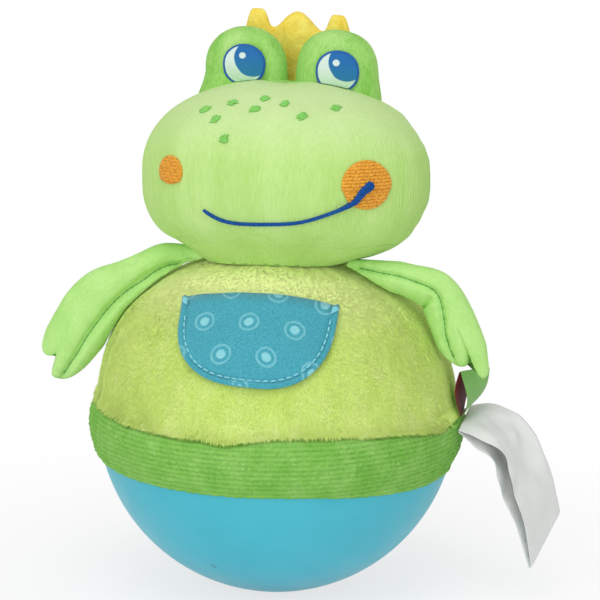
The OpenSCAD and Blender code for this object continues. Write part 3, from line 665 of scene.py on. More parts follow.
def in_pocket(p, margin):
    """Where points lie under the pocket, drawn in by a margin."""
    full = pocket_full(p[..., 0])
    x = np.abs(p[..., 0]) / (POCKET_W / 2 - margin)
    z = (POCKET_TOP - p[..., 2] - pocket_lean(p[..., 0], POCKET_TOP - p[..., 2])) / (POCKET_DROP - margin)
    inside = x ** full + np.maximum(z, 0) ** full < 1
    return inside & (p[..., 1] < 0) & (p[..., 2] < POCKET_TOP - pocket_sag(p[..., 0]) - margin / 2)


def fur_mesh(name, count, middle_az, half_az, look, seed):
    """Short tufts of pile, combed down, each a closed spike, on a part of the body."""
    rng = np.random.default_rng(seed)
    rises = rng.uniform(0, 0.93, count * 3)
    azs = middle_az + rng.uniform(-half_az, half_az, count * 3)
    azs = (azs + 180) % 360 - 180
    keep = rng.uniform(0, 1, count * 3) < np.hypot(*body_skin(azs, rises, PILE)[:, :2].T) / (BODY_R + 2)
    rises, azs = rises[keep], azs[keep]
    root = body_skin(azs, rises, PILE)
    up = unit(body_skin(azs, rises + 0.01, PILE) - body_skin(azs, rises - 0.01, PILE))
    side = unit(body_skin(azs + 0.5, rises, PILE) - body_skin(azs - 0.5, rises, PILE))
    normal = np.cross(side, up)
    root = root + normal * body_relief(root, azs)[:, None]
    low = root[:, 2] - edge_z(azs)
    thin = 0.4 + 0.6 * smooth(7, 2, low) - 0.25 * smooth(36, 26, np.hypot(root[:, 0], root[:, 1]))
    by_labels = (root[:, 0] > 45) * smooth(17, 11.5, np.abs(root[:, 1] - LABEL_Y)) * smooth(5, 2.5, low)
    grown = rng.uniform(0, 1, len(root)) < thin * (1 - by_labels)
    keep = np.flatnonzero(~in_pocket(root, 1.2) & grown)[:count]
    root, up, side, normal = root[keep], up[keep], side[keep], normal[keep]
    hem = smooth(4, 0, root[:, 2] - edge_z(azs[keep]))
    lie = 0.8 * lumps(root, 8, 21) + rng.normal(0, 0.3, len(root))
    collar = hump(np.hypot(root[:, 0], root[:, 1]) - 23, 2)
    lift = np.radians(28 + 6 * lumps(root, 4, 22) + rng.normal(0, 5, len(root)) + 8 * hem + 10 * collar)
    flow = -up * np.cos(lie)[:, None] + side * np.sin(lie)[:, None]
    flow = flow * np.cos(lift)[:, None] + normal * np.sin(lift)[:, None]
    length = (rng.uniform(0.6, 1.0, len(root)) * (1 + 1.3 * hem))[:, None]
    width = rng.uniform(0.12, 0.2, len(root))[:, None]
    across = unit(np.cross(flow, normal))
    spike = np.stack([root + across * width, root - across * width,
                      root + normal * width * 0.9 - flow * 0.3, root + flow * length], 1)
    start = np.arange(len(root))[:, None, None] * 4
    faces = (np.array([[0, 2, 1], [0, 1, 3], [1, 2, 3], [2, 0, 3]])[None] + start).reshape(-1, 3)
    shade = unit(normal - 0.1 * flow)
    return add_mesh(name, spike.reshape(-1, 3), faces.tolist(), look,
                    normals=np.repeat(shade, 4, 0), tidy_normals=False)


for name, middle_az, half_az, seed in (("body_fur_front", 0, 78, 31), ("body_fur_back", 180, 102, 32)):
    soft(fur_mesh(name, FUR_COUNT, middle_az, half_az, fur_look, seed), "body", "lime_plush")

# Terry band

TERRY_HANG, TERRY_INNER_R = 3.2, 53.8
az, share = np.meshgrid(np.linspace(-180, 180, 801)[:-1], np.linspace(0, 1, 110))
low_z = RIM_Z + 0.15 - TERRY_HANG * smooth(5, 70, az) * smooth(165, 110, az)
z = low_z + (edge_z(az) + 0.95 - low_z) * share
at = round_point(BODY_R, az, z)
rib = np.abs(np.sin(np.pi * (z - RIM_Z) / TERRY_PITCH)) ** 0.8
loops = lumps(at * [1.3, 1.3, 1], 0.75, 42)
edge = np.clip(np.minimum(share, 1 - share) * 14, 0, 1) ** 0.5
side_r = np.where(z < BAND_Z, band_r(np.minimum(z, BAND_Z)), body_side_r(z))
tuck = 2.4 * smooth(-1.4, 0.2, z - edge_z(az))
r = side_r - 0.35 + edge * (0.28 * rib + 0.4 * loops + 0.3 * lumps(at, 8, 43)) - 0.4 * (1 - edge) - tuck
z = z - smooth(0.06, 0, share) * (0.25 + 0.25 * loops)
outer = round_point(r, az, z)
inner_z = np.linspace(BAND_Z - 0.3, RIM_Z + 1.6, 8)[:, None] + 0 * az[:8]
inner_r = np.sqrt(TERRY_INNER_R ** 2 - (inner_z - BALL_Z) ** 2)
inner = round_point(inner_r, az[:8], inner_z)
flange = inner[-1:] * [0.93, 0.93, 1]
under = flange * [1, 1, 0] + [0, 0, RIM_Z + 0.1]
lap_z = np.stack([0 * az[0] + RIM_Z + 0.1, low_z[0] + 0.2])
lap_r = np.sqrt((BALL_R + 0.12) ** 2 - (lap_z - BALL_Z) ** 2)
lap = round_point(lap_r, az[:2], lap_z)
terry_band = ring_mesh("terry_band", np.concatenate([outer, inner, flange, under, lap]), terry_look)
soft(terry_band, "body", "green_terry", "body_band", fill=0.5)

# Pocket

t, u = np.meshgrid(np.linspace(0, 0.992, 90), np.linspace(-1, 1, 121), indexing="ij")
drop = POCKET_DROP * sind(90 * t) ** 0.6
full = pocket_full(u)
half = POCKET_W / 2 * (1 - (drop / POCKET_DROP) ** full) ** (1 / full)
x = u * half
z = pocket_z(x, drop)
from_side = (1 - np.abs(u)) * half
from_low = POCKET_DROP * (1 - np.clip(np.abs(x) / (POCKET_W / 2), 0, 1) ** full) ** (1 / full) - drop
inside = np.minimum(from_side, from_low)
at = xyz(x, 0 * x, z)
puff = (0.5 * hump(inside - 0.9, 0.7) - 0.4 * hump(inside - 1.9, 0.4) + 0.35 * lumps(at, 7, 51)
        + 0.12 * lumps(at, 2.4, 52) * smooth(6, 2, inside) + 0.9 * smooth(5, 0, drop) * smooth(0, 8, from_side)
        + 0.5 * smooth(0.6, 0, drop))


def on_body(x, z, lift):
    """Points of the body's front, lifted off it."""
    r = body_side_r(z)
    y = -np.sqrt(np.maximum(r ** 2 - x ** 2, 0))
    return xyz(x, y, z) + unit(xyz(x, y, (z - BALL_Z) * 1.1)) * lift[..., None]


pocket_uv = np.stack([x, lengths(on_body(0 * x, z, 0 * x))], -1)
pocket_front = on_body(x, z, 1.0 + puff)
pocket_back = on_body(x, z, np.maximum(0.15 + puff, 0.15) * smooth(-0.2, 1.5, inside) + 0.1)

PITCH_U, PITCH_V, FIRST_U, FIRST_V, TILT = 13.3, 10.2, -1.0, 9.6, 3.5
print_look = Look("teal_print", Roughness=0.85, Specular_IOR_Level=0.2, Sheen_Weight=0.2)
print_u, print_v, _ = print_look.split(print_look.add("VectorRotate", {
    "Vector": print_look.flat(), "Angle": -math.radians(TILT)}, rotation_type="Z_AXIS"))
row = print_look.math("FLOOR", print_look.math(
    "DIVIDE", print_look.minus(print_v, FIRST_V - PITCH_V / 2), PITCH_V))
shift = print_look.plus(print_look.times(print_look.math("FLOORED_MODULO", row, 2.0), PITCH_U / 2),
                        FIRST_U - PITCH_U / 2)
cell_u = print_look.minus(print_look.math(
    "FLOORED_MODULO", print_look.minus(print_u, shift), PITCH_U), PITCH_U / 2)
cell_v = print_look.minus(print_v, print_look.plus(print_look.times(row, PITCH_V), FIRST_V))
wobble = print_look.times(print_look.minus(print_look.noise(2.5), 0.5), 0.6)
far = print_look.plus(print_look.far(cell_u, cell_v), wobble)
weave = print_look.noise(0.45, 2, 0.6)
ground = print_look.ramp(weave, (0.3, srgb(56, 146, 164)), (0.7, srgb(82, 176, 192)))
pale = print_look.ramp(weave, (0.3, srgb(120, 196, 208)), (0.7, srgb(152, 218, 226)))
RINGS = ((0.0, 1), (0.12, 1), (0.155, 0), (0.225, 0), (0.25, 0.55), (0.29, 0.55), (0.315, 0))
ink = print_look.ramp(print_look.math("DIVIDE", far, 10.0), *((at, (k, k, k, 1)) for at, k in RINGS))
print_look.set("Base Color", print_look.mix(ink, ground, pale))
print_look.bump(weave, 0.12)
print_look.bump(print_look.noise(4, 2), 0.25, 0.6)

pocket = slab_mesh("pocket_patch", pocket_front, pocket_back, print_look, uv=pocket_uv)
soft(pocket, "body", "teal_print", "pocket")
pocket_across = float(lengths(pocket_front.swapaxes(0, 1))[-1].max())

INSET = 1.9
angle = np.linspace(3, 177, 400)
full = pocket_full(cosd(angle))
line_x = (POCKET_W / 2 - INSET) * power(cosd(angle), 2 / full)
line_drop = (POCKET_DROP - INSET) * sind(angle) ** (2 / full)
line = on_body(line_x, pocket_z(line_x, line_drop), 1.0 + 0 * line_x)
chain = run_stitches(line, unit(line - [0, 0, BALL_Z]), pitch=2.3, share=0.84, wander=0.05, seed=61)
tack = []
for side in (-1, 1):
    for step in range(4):
        corner = POCKET_TOP - (2.6 if side < 0 else 3.5) - step * 0.42
        a = on_body(np.array([side * 22.9]), np.array([corner + 0.3 * step]), np.array([1.3]))[0]
        b = on_body(np.array([side * 20.8]), np.array([corner]), np.array([1.6]))[0]
        tack.append((a, b, unit(a - [0, 0, BALL_Z])))
starts, ends, outs = (np.concatenate([run, bar]) for run, bar in zip(chain, zip(*tack)))
pocket_stitches = thread_mesh("pocket_stitches", starts, ends, outs, pocket_thread, radius=0.27, rise=0.3)
soft(pocket_stitches, "body", "teal_print")

# Head

HEAD_COLS, SEAM_AZ, TOP_EL, CROWDING, COVER_T = 240, 96, 89.9, 0.9, 1.2


def seam_back(el):
    """How many degrees further back the seam lies up on the head than at its sides."""
    return 26 * smooth(5, 55, el)


els = TOP_EL * power(np.linspace(-1, 1, 121), CROWDING)
az, el = np.meshgrid(np.linspace(-180, 180, HEAD_COLS + 1)[:-1], els)
seam_az = SEAM_AZ + seam_back(el)
az_form = np.where(np.abs(az) <= SEAM_AZ, az * seam_az / SEAM_AZ, np.sign(az) * (
    180 - (180 - np.abs(az)) * (180 - seam_az) / (180 - SEAM_AZ)))
head = head_point(az_form, el, 0.7)
on_seam = np.abs(np.abs(az) - SEAM_AZ) < 0.8
away = turned(head - HEAD_AT, -HEAD_TURN)[..., 0]
head[..., 0] += 1.7 * smooth(34, 43, away) * smooth(-35, 0, el) - 0.7 * smooth(34, 43, -away)
head[..., 0] += 1.8 * smooth(22, 34, away) * smooth(20, 45, el)
nod_room = 1 - 0.55 * smooth(-3, -13, head[..., 1])
head[..., 2] -= smooth(-12, -38, el) * (2.2 * nod_room * smooth(14, 28, away) + 1.3 * smooth(26, 36, -away))
head = inflate(head, on_seam | (el < -60), every=3, cap=0.9)
seam_mm = np.abs(np.abs(az) - SEAM_AZ) * 0.62 * np.abs(cosd(el)) ** 0.8
normal = outward(grid_normals(head, True), head)
pucker = hump(seam_mm, 6) * np.sin(el * 0.55 + 3 * lumps(head, 12, 71)) * 0.08
relief = 0.5 * lumps(head, 16, 72) + 0.12 * lumps(head, 6, 73) + pucker - 0.7 * hump(seam_mm, 1.3)
fade = smooth(-80, -55, el) * smooth(TOP_EL, 80, el)
head = head + normal * (relief * fade)[..., None]


def face_point(az, el):
    """A point of the finished face by its angles on the head's form."""
    az, el = np.broadcast_arrays(np.asarray(az, float), np.asarray(el, float))
    row = (1 + power(el / TOP_EL, 1 / CROWDING)) * (len(els) - 1) / 2
    col = (az * SEAM_AZ / (SEAM_AZ + seam_back(el)) + 180) / 360 * HEAD_COLS
    r, c = row.astype(int), col.astype(int)
    up, over = (row - r)[..., None], (col - c)[..., None]
    low = (1 - over) * head[r, c] + over * head[r, c + 1]
    high = (1 - over) * head[r + 1, c] + over * head[r + 1, c + 1]
    return (1 - up) * low + up * high


def head_panel(name, grid, look):
    """A part of the head's cover, with its thickness inward."""
    inward = -outward(grid_normals(grid), grid, HEAD_AT)
    return slab_mesh(name, grid, grid + inward * COVER_T, look)


first, last = (round((180 + turn) / 360 * HEAD_COLS) for turn in (-SEAM_AZ, SEAM_AZ))
face = head_panel("face_cover_soft", head[:, first:last + 1], face_look)
nape = head_panel("head_back_soft", np.concatenate([head[:, last:], head[:, :first + 1]], 1), velour_look)
soft(face, "head", "pale_velour", "face_cover", "head_filling", fill=0.9)
soft(nape, "head", "green_velour", "head_back_cover", fill=0.9)

# Neck

NECK_X, NECK_FRONT, NECK_BACK, CHIN_EL, SEWN_AZ, SEWN_HALF_AZ = 21.5, 17.4, 18.0, -42.0, 6, 62
az = np.linspace(-180, 180, 241)[:-1]
side, front = power(sind(az), 0.9), power(cosd(az), 0.9)
x, y = NECK_X * side, -np.where(front > 0, NECK_FRONT, NECK_BACK) * front
low = xyz(x, y, body_top_z(np.hypot(x, y)) - 0.5)
chin_row = int(np.argmin(np.abs(els - CHIN_EL)))
high = head[chin_row] + normal[chin_row] * 0.05
chin_run = unit(head[chin_row - 2] - head[chin_row + 2])
bend = high + chin_run * np.linalg.norm(high - low, axis=-1, keepdims=True) * 0.45
share = np.linspace(0, 1, 25)[:, None, None]
outer = bow(low, bend, high, share)
fold = 0.3 * lumps(outer * [1, 1, 0.3], 4, 77)[..., None] * np.sin(np.pi * share) ** 0.5
outer = outer + unit(outer * [1, 1, 0]) * fold
inner = outer[::-1] * [0.92, 0.92, 1] + [0, 0, 0.8]
neck = ring_mesh("neck_gather", np.concatenate([outer, inner]), face_look)
neck_line = outer[1][np.abs(az - SEWN_AZ) < SEWN_HALF_AZ]
neck_out = unit(neck_line * [1, 1, 0] + [0, 0, 4])
chain = run_stitches(neck_line, neck_out, pitch=5.2, share=0.24, wander=0.35, seed=78)
neck_stitches = thread_mesh("neck_stitches", *chain, neck_thread, radius=0.24, rise=0.2)
for obj, slot in ((neck, "pale_velour"), (neck_stitches, "green_thread")):
    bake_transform(obj)

# Eye domes

BROW_SINK, INNER_FLAT = 1.6, 0.06


def dome(side, name, node, flared, seed):
    """A stuffed dome whose base is sewn into the brow."""
    turn = np.linspace(0, 360, 97)[:-1]
    foot = dome_form(side, turn, 0 * turn)
    middle = np.array([side * DOME_X, DOME_BACK, 0])
    spread = (foot - middle)[:, :2]
    outer_side = np.clip(0.5 + 0.9 * side * sind(turn), 0, 1)
    inner_side = np.clip(0.5 - 0.9 * side * sind(turn), 0, 1)
    spread = spread * np.stack([1 - INNER_FLAT * inner_side, 0 * turn + 1], -1)
    flare = 1 + flared * outer_side
    rings = []
    for share in (0.2, 0.6, 0.95):
        q = np.concatenate([spread * (share * flare)[:, None], 0 * foot[:, 2:]], 1) + middle
        q[:, 2] = brow_z(q[:, 0], q[:, 1]) - BROW_SINK
        rings.append(in_place(q))
    base = brow_z(*(spread * flare[:, None] + middle[:2]).T) - BROW_SINK
    for share in np.linspace(0, 1, 14)[:-1]:
        z = base + (DOME_Z - base) * share
        wide = 1 + flared * outer_side * smooth(10, 0, z - base)
        q = spread * wide[:, None] + middle[:2]
        rings.append(in_place(np.concatenate([q, z[:, None]], 1)))
    for e in np.linspace(0, 89, 34):
        p = dome_form(side, turn, 0 * turn + e)
        round_ring = cosd(e) ** (0.95 - 2 / DOME_FULL) * (1 - INNER_FLAT * inner_side)
        p[:, 0] = middle[0] + (p[:, 0] - middle[0]) * round_ring
        rings.append(in_place(p))
    grid = np.array(rings)
    normal = outward(grid_normals(grid, True), grid)
    bump = 0.4 * lumps(grid, 9, seed) + 0.14 * lumps(grid, 3.5, seed + 1)
    bump[:4] = 0
    grid = grid + normal * (bump - 0.15)[..., None]
    obj = closed_mesh(name, grid, velour_look)
    return soft(obj, "head", "green_velour", node, fill=0.9)


dome(-1, "left_dome_soft", "left_eye_dome", flared=0.2, seed=81)
dome(1, "right_dome_soft", "right_eye_dome", flared=0.06, seed=84)

# Eyes

EYE_AZ_SCALE, EYE_EL_SCALE = 28.86, 25.85


def disc_grid(n):
    """A square grid of points moved onto a disc of radius 1."""
    u, v = np.meshgrid(np.linspace(-1, 1, n), np.linspace(-1, 1, n), indexing="ij")
    return u * np.sqrt(1 - v * v / 2), v * np.sqrt(1 - u * u / 2)


def eye_look(name, iris, iris_r, spark):
    """A printed eye: iris and spark are placed in radii of the disc."""
    look = Look(name, Roughness=0.6, Specular_IOR_Level=0.3, Sheen_Weight=0.1)
    u, v, _ = look.split(look.flat())

    def reach(cu, cv):
        return look.far(look.minus(u, cu), look.minus(v, cv))
    weave = look.noise(0.4, 2, 0.6)
    white = look.mix(look.range(v, -0.75, 0.1), srgb(178, 220, 172), srgb(218, 236, 226))
    blue = look.mix(look.range(v, -0.9, 0.45), srgb(34, 128, 156), srgb(16, 104, 172))
    colour = look.mix(look.range(reach(*iris), iris_r - 0.02, iris_r + 0.02, 1, 0), white, blue)
    colour = look.mix(look.range(reach(*spark), 0.13, 0.17, 1, 0), colour, srgb(214, 234, 230))
    colour = look.mix(look.range(reach(0, 0), 0.83, 0.87), colour, srgb(12, 88, 164))
    look.set("Base Color", look.mix(look.times(weave, 0.12), colour, srgb(20, 70, 110)))
    return look.bump(weave, 0.1)


def eye(side, name, node, angles, look):
    """A padded disc on the front of a dome."""
    u, v = disc_grid(56)
    far = np.hypot(u, v)
    az, el = angles[0] + u * EYE_AZ_SCALE, angles[1] + v * EYE_EL_SCALE
    top = 0.45 * round_edge(far, 8) + 0.22 * smooth(0.76, 0.86, far) * (far < 0.985)
    lift = (LAYER_GAP + 0.25 + top)[..., None]
    base = dome_form(side, az, el)
    out = unit(dome_form(side, az, el, -1.0) - base)
    obj = slab_mesh(name, above_brow(base + out * lift), above_brow(base - out * 1.2), look,
                    uv=np.stack([u, v], -1))
    return soft(obj, "head", "eye_print", node)


SPARK = (-0.06, 0.35)
eye(-1, "left_eye_print", "left_eye", (4, 10), eye_look("left_eye_look", (0.4, 0.3), 0.84, SPARK))
eye(1, "right_eye_print", "right_eye", (11, 5), eye_look("right_eye_look", (0.42, 0.4), 0.82, SPARK))

# Crown

CROWN_BACK, CROWN_T, CROWN_HALF_W = 19.05, 4.4, 17
u, v = np.meshgrid(np.linspace(-1, 1, 121), np.linspace(0, 1, 46), indexing="ij")
x = u * CROWN_HALF_W - 0.8
CROWN_AT = [0, 0.1, 0.22, 0.34, 0.44, 0.52, 0.57, 0.62, 0.68, 0.84, 0.89, 0.94, 1.0]
CROWN_UP = [5.6, 5.1, 3.5, 1.2, 0.0, 0.6, 3.6, 5.3, 5.5, 5.4, 4.6, 1.6, -3.0]
point = eased(np.interp(np.abs(u), CROWN_AT, CROWN_UP), 4)
low = brow_z(x, 0 * x + CROWN_BACK + CROWN_T / 2) + SEAT_GAP
high = BROW_H + 13 + point - x * math.tan(math.radians(3))
thick = 0.3 + (CROWN_T - 0.3) * round_edge(u, 4) * round_edge(v, 5)
crown_sides = []
for side in (1, -1):
    p = xyz(x, CROWN_BACK - side * thick / 2, low + (high - low) * v)
    dent = 0.35 * lumps(p, 6, 91 + side) + 0.2 * lumps(p, 2.2, 94)
    p[..., 1] -= side * dent * np.clip(thick - 0.6, 0, 1)
    crown_sides.append(above_brow(p))
crown = slab_mesh("crown_soft", *crown_sides, crown_look)
soft(crown, "head", "yellow_fleece", "crown", fill=0.5)

# Embroidery


def face_disc(angles, half_w, half_h, n, relief):
    """A raised disc on the face; relief gives its height over the disc's own coordinates in mm."""
    az, el = angles
    u, v = disc_grid(n)
    rise = head_point(az, el + 1.0) - head_point(az, el - 1.0)
    az_scale = 2 * half_w / np.linalg.norm(head_point(az + 1.0, el) - head_point(az - 1.0, el))
    z_scale = half_h * rise[2] / np.linalg.norm(rise)
    mid_z = head_form(np.float64(az), np.float64(el))[2]
    turn = az + u * az_scale
    tall = head_el(mid_z + v * z_scale)
    rim = round_edge(np.hypot(u, v), 6)
    base, out = face_point(turn, tall), head_normal(turn, tall)
    lift = LAYER_GAP + 0.25 + relief(u * half_w, v * half_h) * rim
    return base + out * lift[..., None], base - out * 0.5


def fill_rows(x, y):
    """Rows of fill stitch: wavy lines with staggered needle holes."""
    row = (y + 0.2 * np.sin(x * 1.6 + 1.0)) / CHEEK_PITCH
    thread = np.abs(np.cos(np.pi * row))
    hole = hump(((x + 0.9 * np.round(row)) / 2.6 + 0.5) % 1 - 0.5, 0.09)
    return 0.36 + 0.3 * thread - 0.4 * hole


for side, angles, radius in (("left", (-41, 4.6), 4.9), ("right", (44.4, 1.8), 7.8)):
    top, back = face_disc(angles, radius, radius * 0.96, 90, fill_rows)
    cheek = slab_mesh(side + "_cheek_stitch", top, back, cheek_thread)
    soft(cheek, "head", "orange_thread", side + "_cheek")

MOUTH = [[-22, -9], [-12, -17], [3, -16], [14, -14], [26, -8], [34, -4.4], [40.5, -0.9], [46.5, 2.6]]
place, k = np.meshgrid(np.linspace(0, 1, 420), np.linspace(-1, 1, 15), indexing="ij")
angles = eased(along(MOUTH, place[:, 0]), 800)
line, out = face_point(angles[:, 0], angles[:, 1]), head_normal(angles[:, 0], angles[:, 1])
across = np.cross(out, unit(np.gradient(line, axis=0)))
tip = np.clip(np.minimum(0.2 + place * 12, (1 - place) * 26 + 0.03), 0, 1)
half = (0.44 + 0.96 * smooth(0.62, 1.0, place)) * round_edge(1 - tip, 2)
satin = np.abs(np.sin(np.pi * (place * lengths(line)[-1] + 0.35 * k) / 0.75))
top = LAYER_GAP + 0.2 + smooth(0.45, 0.84, place) + (0.4 + 0.22 * satin) * round_edge(k, 4)
strip = line[:, None] + across[:, None] * (half * k * (1 + 0.16 * satin * smooth(0.8, 0.6, place)))[..., None]
mouth = slab_mesh("mouth_stitch", strip + out[:, None] * top[..., None], strip - out[:, None] * 0.5,
                  mouth_thread)
soft(mouth, "head", "blue_thread", "mouth")

FRECKLES = [(-38, 47), (-25, 40), (-15, 27), (-24, 55), (-6, 51), (-4, 62), (9, 57), (18, 46), (43, 53)]
rng = np.random.default_rng(101)
starts, ends, outs = [], [], []
for az, el in FRECKLES:
    at, out = face_point(az, el), head_normal(np.float64(az), np.float64(el))
    right = unit(head_point(az + 1.0, el) - head_point(az - 1.0, el))
    upward = np.cross(out, right)
    slant = rng.uniform(0.2, 0.7)
    run = unit(right * math.cos(slant) + upward * math.sin(slant))
    over = np.cross(out, run)
    for step in np.linspace(-1, 1, 6):
        middle = at + over * step * 1.05 + run * rng.uniform(-0.4, 0.4) + out * 0.2
        reach = 1.6 * math.sqrt(1.4 - step * step) * rng.uniform(0.7, 1.1)
        tilt = over * rng.uniform(-0.15, 0.15)
        starts.append(middle - run * reach - tilt)
        ends.append(middle + run * reach + tilt)
        outs.append(out)
freckles = thread_mesh("freckle_stitches", starts, ends, outs, freckle_thread, radius=0.25, rise=0.2)
soft(freckles, "head", "green_thread", "freckles")

# Arms

ARM_LEN, ARM_W, ARM_T = 60.0, 15.6, 8.4
LOBE_PART = 0.24
DEPTH = [0.6, 0.8, 0.95, 1, 1, 0.95, 0.85]


def under_head(p, middle_x):
    """Points kept below the head's underside, with room for its nod."""
    lower = head[:60:2, ::2]
    lower = lower[np.abs(lower[..., 0] - middle_x) < 26]
    away = ((p[:, None, :2] - lower[None, :, :2]) ** 2).sum(-1)
    near = np.argmin(away, 1)
    room = lower[near, 2] - 0.5 - np.abs(p[:, 1]) * math.tan(math.radians(NOD_ROOM))
    covered = away[np.arange(len(p)), near] < 2.5
    x, y, z = p.T
    return xyz(x, y, np.where(covered, np.minimum(z, room), z))


def arm(name, node, root, path, widths, lobes, inner, hug, front, seam, fold, seed):
    """A stuffed arm of rings along its middle line, its front seam drawn in, ending in two lobes."""
    rows, cols = 121, 96
    path = np.array(root) + ARM_LEN * np.array(path)
    row, turn = np.meshgrid(np.linspace(0, 1, rows), np.linspace(0, 2 * np.pi, cols, endpoint=False), indexing="ij")
    k = np.cos(turn)
    fine_k = np.linspace(-1, 1, 161)
    fine_end = 0 * fine_k
    for (low, high), (end, peak, fall) in zip(((-1, LOBE_PART), (LOBE_PART, 1)), lobes):
        far = np.where(fine_k < peak, (peak - fine_k) / (peak - low), (fine_k - peak) / (high - peak))
        lobe = end - np.where(fine_k < peak, fall, 0.09) * (1 - round_edge(far, 2))
        fine_end = np.where((fine_k >= low) & (fine_k <= high), lobe, fine_end)
    place = row * np.interp(k, fine_k, eased(fine_end, 4))
    beyond = np.maximum(place - 1, 0)[..., None]
    place = np.minimum(place, 1)
    last = along(path, np.array([0.93, 1.0]))
    middle = along(path, place.ravel()).reshape(rows, cols, 3) + beyond * (last[1] - last[0]) / 0.07
    step = 1 / 18
    tangent = unit((along(path, place.ravel() + step) - along(path, place.ravel() - step)).reshape(rows, cols, 3))
    radial = middle - [0, 0, BALL_Z]
    across = unit(radial - (radial * tangent).sum(-1, keepdims=True) * tangent)
    depth = np.cross(tangent, across)
    half = ARM_W / 2 * along(widths, place.ravel()).reshape(rows, cols)
    thick = 0.25 + (ARM_T / 2 - 0.25) * along(DEPTH, place.ravel()).reshape(rows, cols) * round_edge(row, 9)
    reach = (half * np.where(k < 0, k * (1 + inner), k) - hug * smooth(0.9, 0.5, place) * (1 - k) / 2
             - 40 * beyond[..., 0])
    grid = middle + across * reach[..., None] + depth * (thick * np.sin(turn))[..., None]
    grid = clear_of_body(grid, 0.3 + 0 * place)
    faces_front = np.sin(turn) * front > 0
    seam_k = np.interp(place, np.linspace(0, 1, len(seam)), seam)
    off = (k - seam_k) * half
    on_seam = faces_front & (np.abs(off) < 0.9)
    grid = inflate(grid, on_seam | (row < 0.08), every=3, cap=0.8)
    normal = outward(grid_normals(grid, True), grid, middle)
    pucker = hump(off, 3.0) * np.sin(place * 80 + 4 * lumps(grid, 8, seed)) * 0.14
    crook = fold * hump(place - 0.5, 0.025) * smooth(0.1, -0.4, k) * faces_front
    relief = (0.45 * lumps(grid, 9, seed + 1) + 0.12 * lumps(grid, 3.5, seed + 2)
              + np.where(faces_front, pucker - 1.5 * hump(off, 0.9), 0)) * smooth(0, 0.1, row) - crook
    grid = grid + normal * (relief * smooth(1.0, 0.985, row))[..., None]
    grid[place < 0.5] = under_head(grid[place < 0.5], root[0])
    grid = clear_of_body(grid, 0.5 + 0 * place)
    ends = grid[-1:].copy()
    obj = closed_mesh(name, np.concatenate([grid, ends * 0.5 + ends[:, (-np.arange(cols)) % cols] * 0.5]),
                      arm_look)
    soft(obj, node, "green_velour", node, fill=0.8)
    pick = np.argmin(np.where(faces_front, np.abs(off), 99), 1)
    sewn = np.arange(8, rows - 3)
    line_n = normal[sewn, pick[sewn]]
    line = eased(grid[sewn, pick[sewn]] + 0.12 * line_n, 6)
    chain = run_stitches(line, line_n, pitch=1.7, share=1.04, wander=0.03, seed=seed)
    stitches = thread_mesh(node + "_seam", *chain, seam_thread, radius=0.15, rise=0.03)
    return soft(stitches, node, "green_velour")


arm("left_arm_soft", "left_arm", (-23, -4.2, 103.703),
    [[.035, 0, -.005], [-.17, -.01, -.005], [-.345, -.035, -.09], [-.515, -.06, -.21], [-.625, -.085, -.37],
     [-.7, -.1, -.54], [-.735, -.105, -.64]],
    [.36, .52, .68, .95, 1, .98, .9], ((1.0, 0.0, 0.42), (0.85, 0.6, 0.08)), inner=0.22, hug=2.3, front=-1,
    seam=[-0.3, -0.35, -0.4, -0.38, -0.25], fold=0.0, seed=111)
arm("right_arm_soft", "right_arm", (23, -6.6, 103.496),
    [[0, 0, -.015], [.15, -.03, -.044], [.3, -.04, -.066], [.45, -.045, -.12], [.53, -.055, -.25],
     [.585, -.075, -.39], [.64, -.09, -.56]],
    [.28, .5, .6, .74, .82, .86, .72], ((0.92, -0.2, 0.15), (1.005, 0.6, 0.09)), inner=0.2, hug=0.24, front=1,
    seam=[0.35, 0.35, 0.1, -0.5, -0.64], fold=1.3, seed=121)

# Labels

INNER_U, TAPE_T = 100.0, 0.4


def tape(name, node, root, length, bend, end, root_across, tip_across, width, gap, look, slot, wave, seed):
    """A woven tape folded double, out along one leaf and back along the other; its bend and its end
    are shares of its length from its root."""
    root = np.array(root)
    bend, end = (root + length * np.array(v) for v in (bend, end))
    leaf = np.linspace(0, 1, 61)
    f = np.concatenate([leaf, np.ones(9), leaf[::-1]])
    turn = np.concatenate([0 * leaf, np.linspace(0, 180, 11)[1:-1], 0 * leaf + 180])
    f = f[:, None]
    middle = bow(root, bend, end, f)
    tangent = unit(2 * (1 - f) * (bend - root) + 2 * f * (end - bend))
    across = unit((1 - f) * np.array(root_across) + f * np.array(tip_across))
    up = unit(np.cross(tangent, across))
    apart = 0.5 * (1 - f) + 1.0 * f + gap * sind(180 * f)
    out = up * cosd(turn)[:, None] + tangent * sind(turn)[:, None]
    k = np.linspace(-1, 1, 41)
    base = middle[:, None] + across[:, None] * (width / 2 * k)[None, :, None]
    ripple = wave * (lumps(base, 11, seed) + 0.4 * lumps(base, 4.5, seed + 1)) * np.sin(np.pi * np.clip(f * 1.1, 0, 1))
    edge = TAPE_T * np.clip(1 - np.abs(k) ** 12, 0.25, 1)[None, :, None]
    centre = base + out[:, None] * (apart / 2)[:, None] + up[:, None] * ripple[..., None]
    flat_uv = np.stack(np.broadcast_arrays(width / 2 * k[None], lengths(centre[:, len(k) // 2])[:, None]), -1)
    obj = slab_mesh(name, centre + out[:, None] * edge / 2, centre - out[:, None] * edge / 2, look, uv=flat_uv,
                    uv_back=flat_uv + [INNER_U, 0])
    soft(obj, node, slot, node)
    return obj, float(flat_uv[-1, 0, 1])


tape_look = Look("white_tape", Roughness=0.7, Specular_IOR_Level=0.25, Sheen_Weight=0.1)
weave = tape_look.times(tape_look.waves("X", 0.9, 0.4), tape_look.waves("Y", 0.7, 0.4))
tape_look.set("Base Color", tape_look.mix(
    tape_look.noise(8, 3), tape_look.mix(weave, srgb(228, 230, 228), srgb(246, 247, 245)), srgb(240, 242, 240)))
tape_look.bump(weave, 0.08)

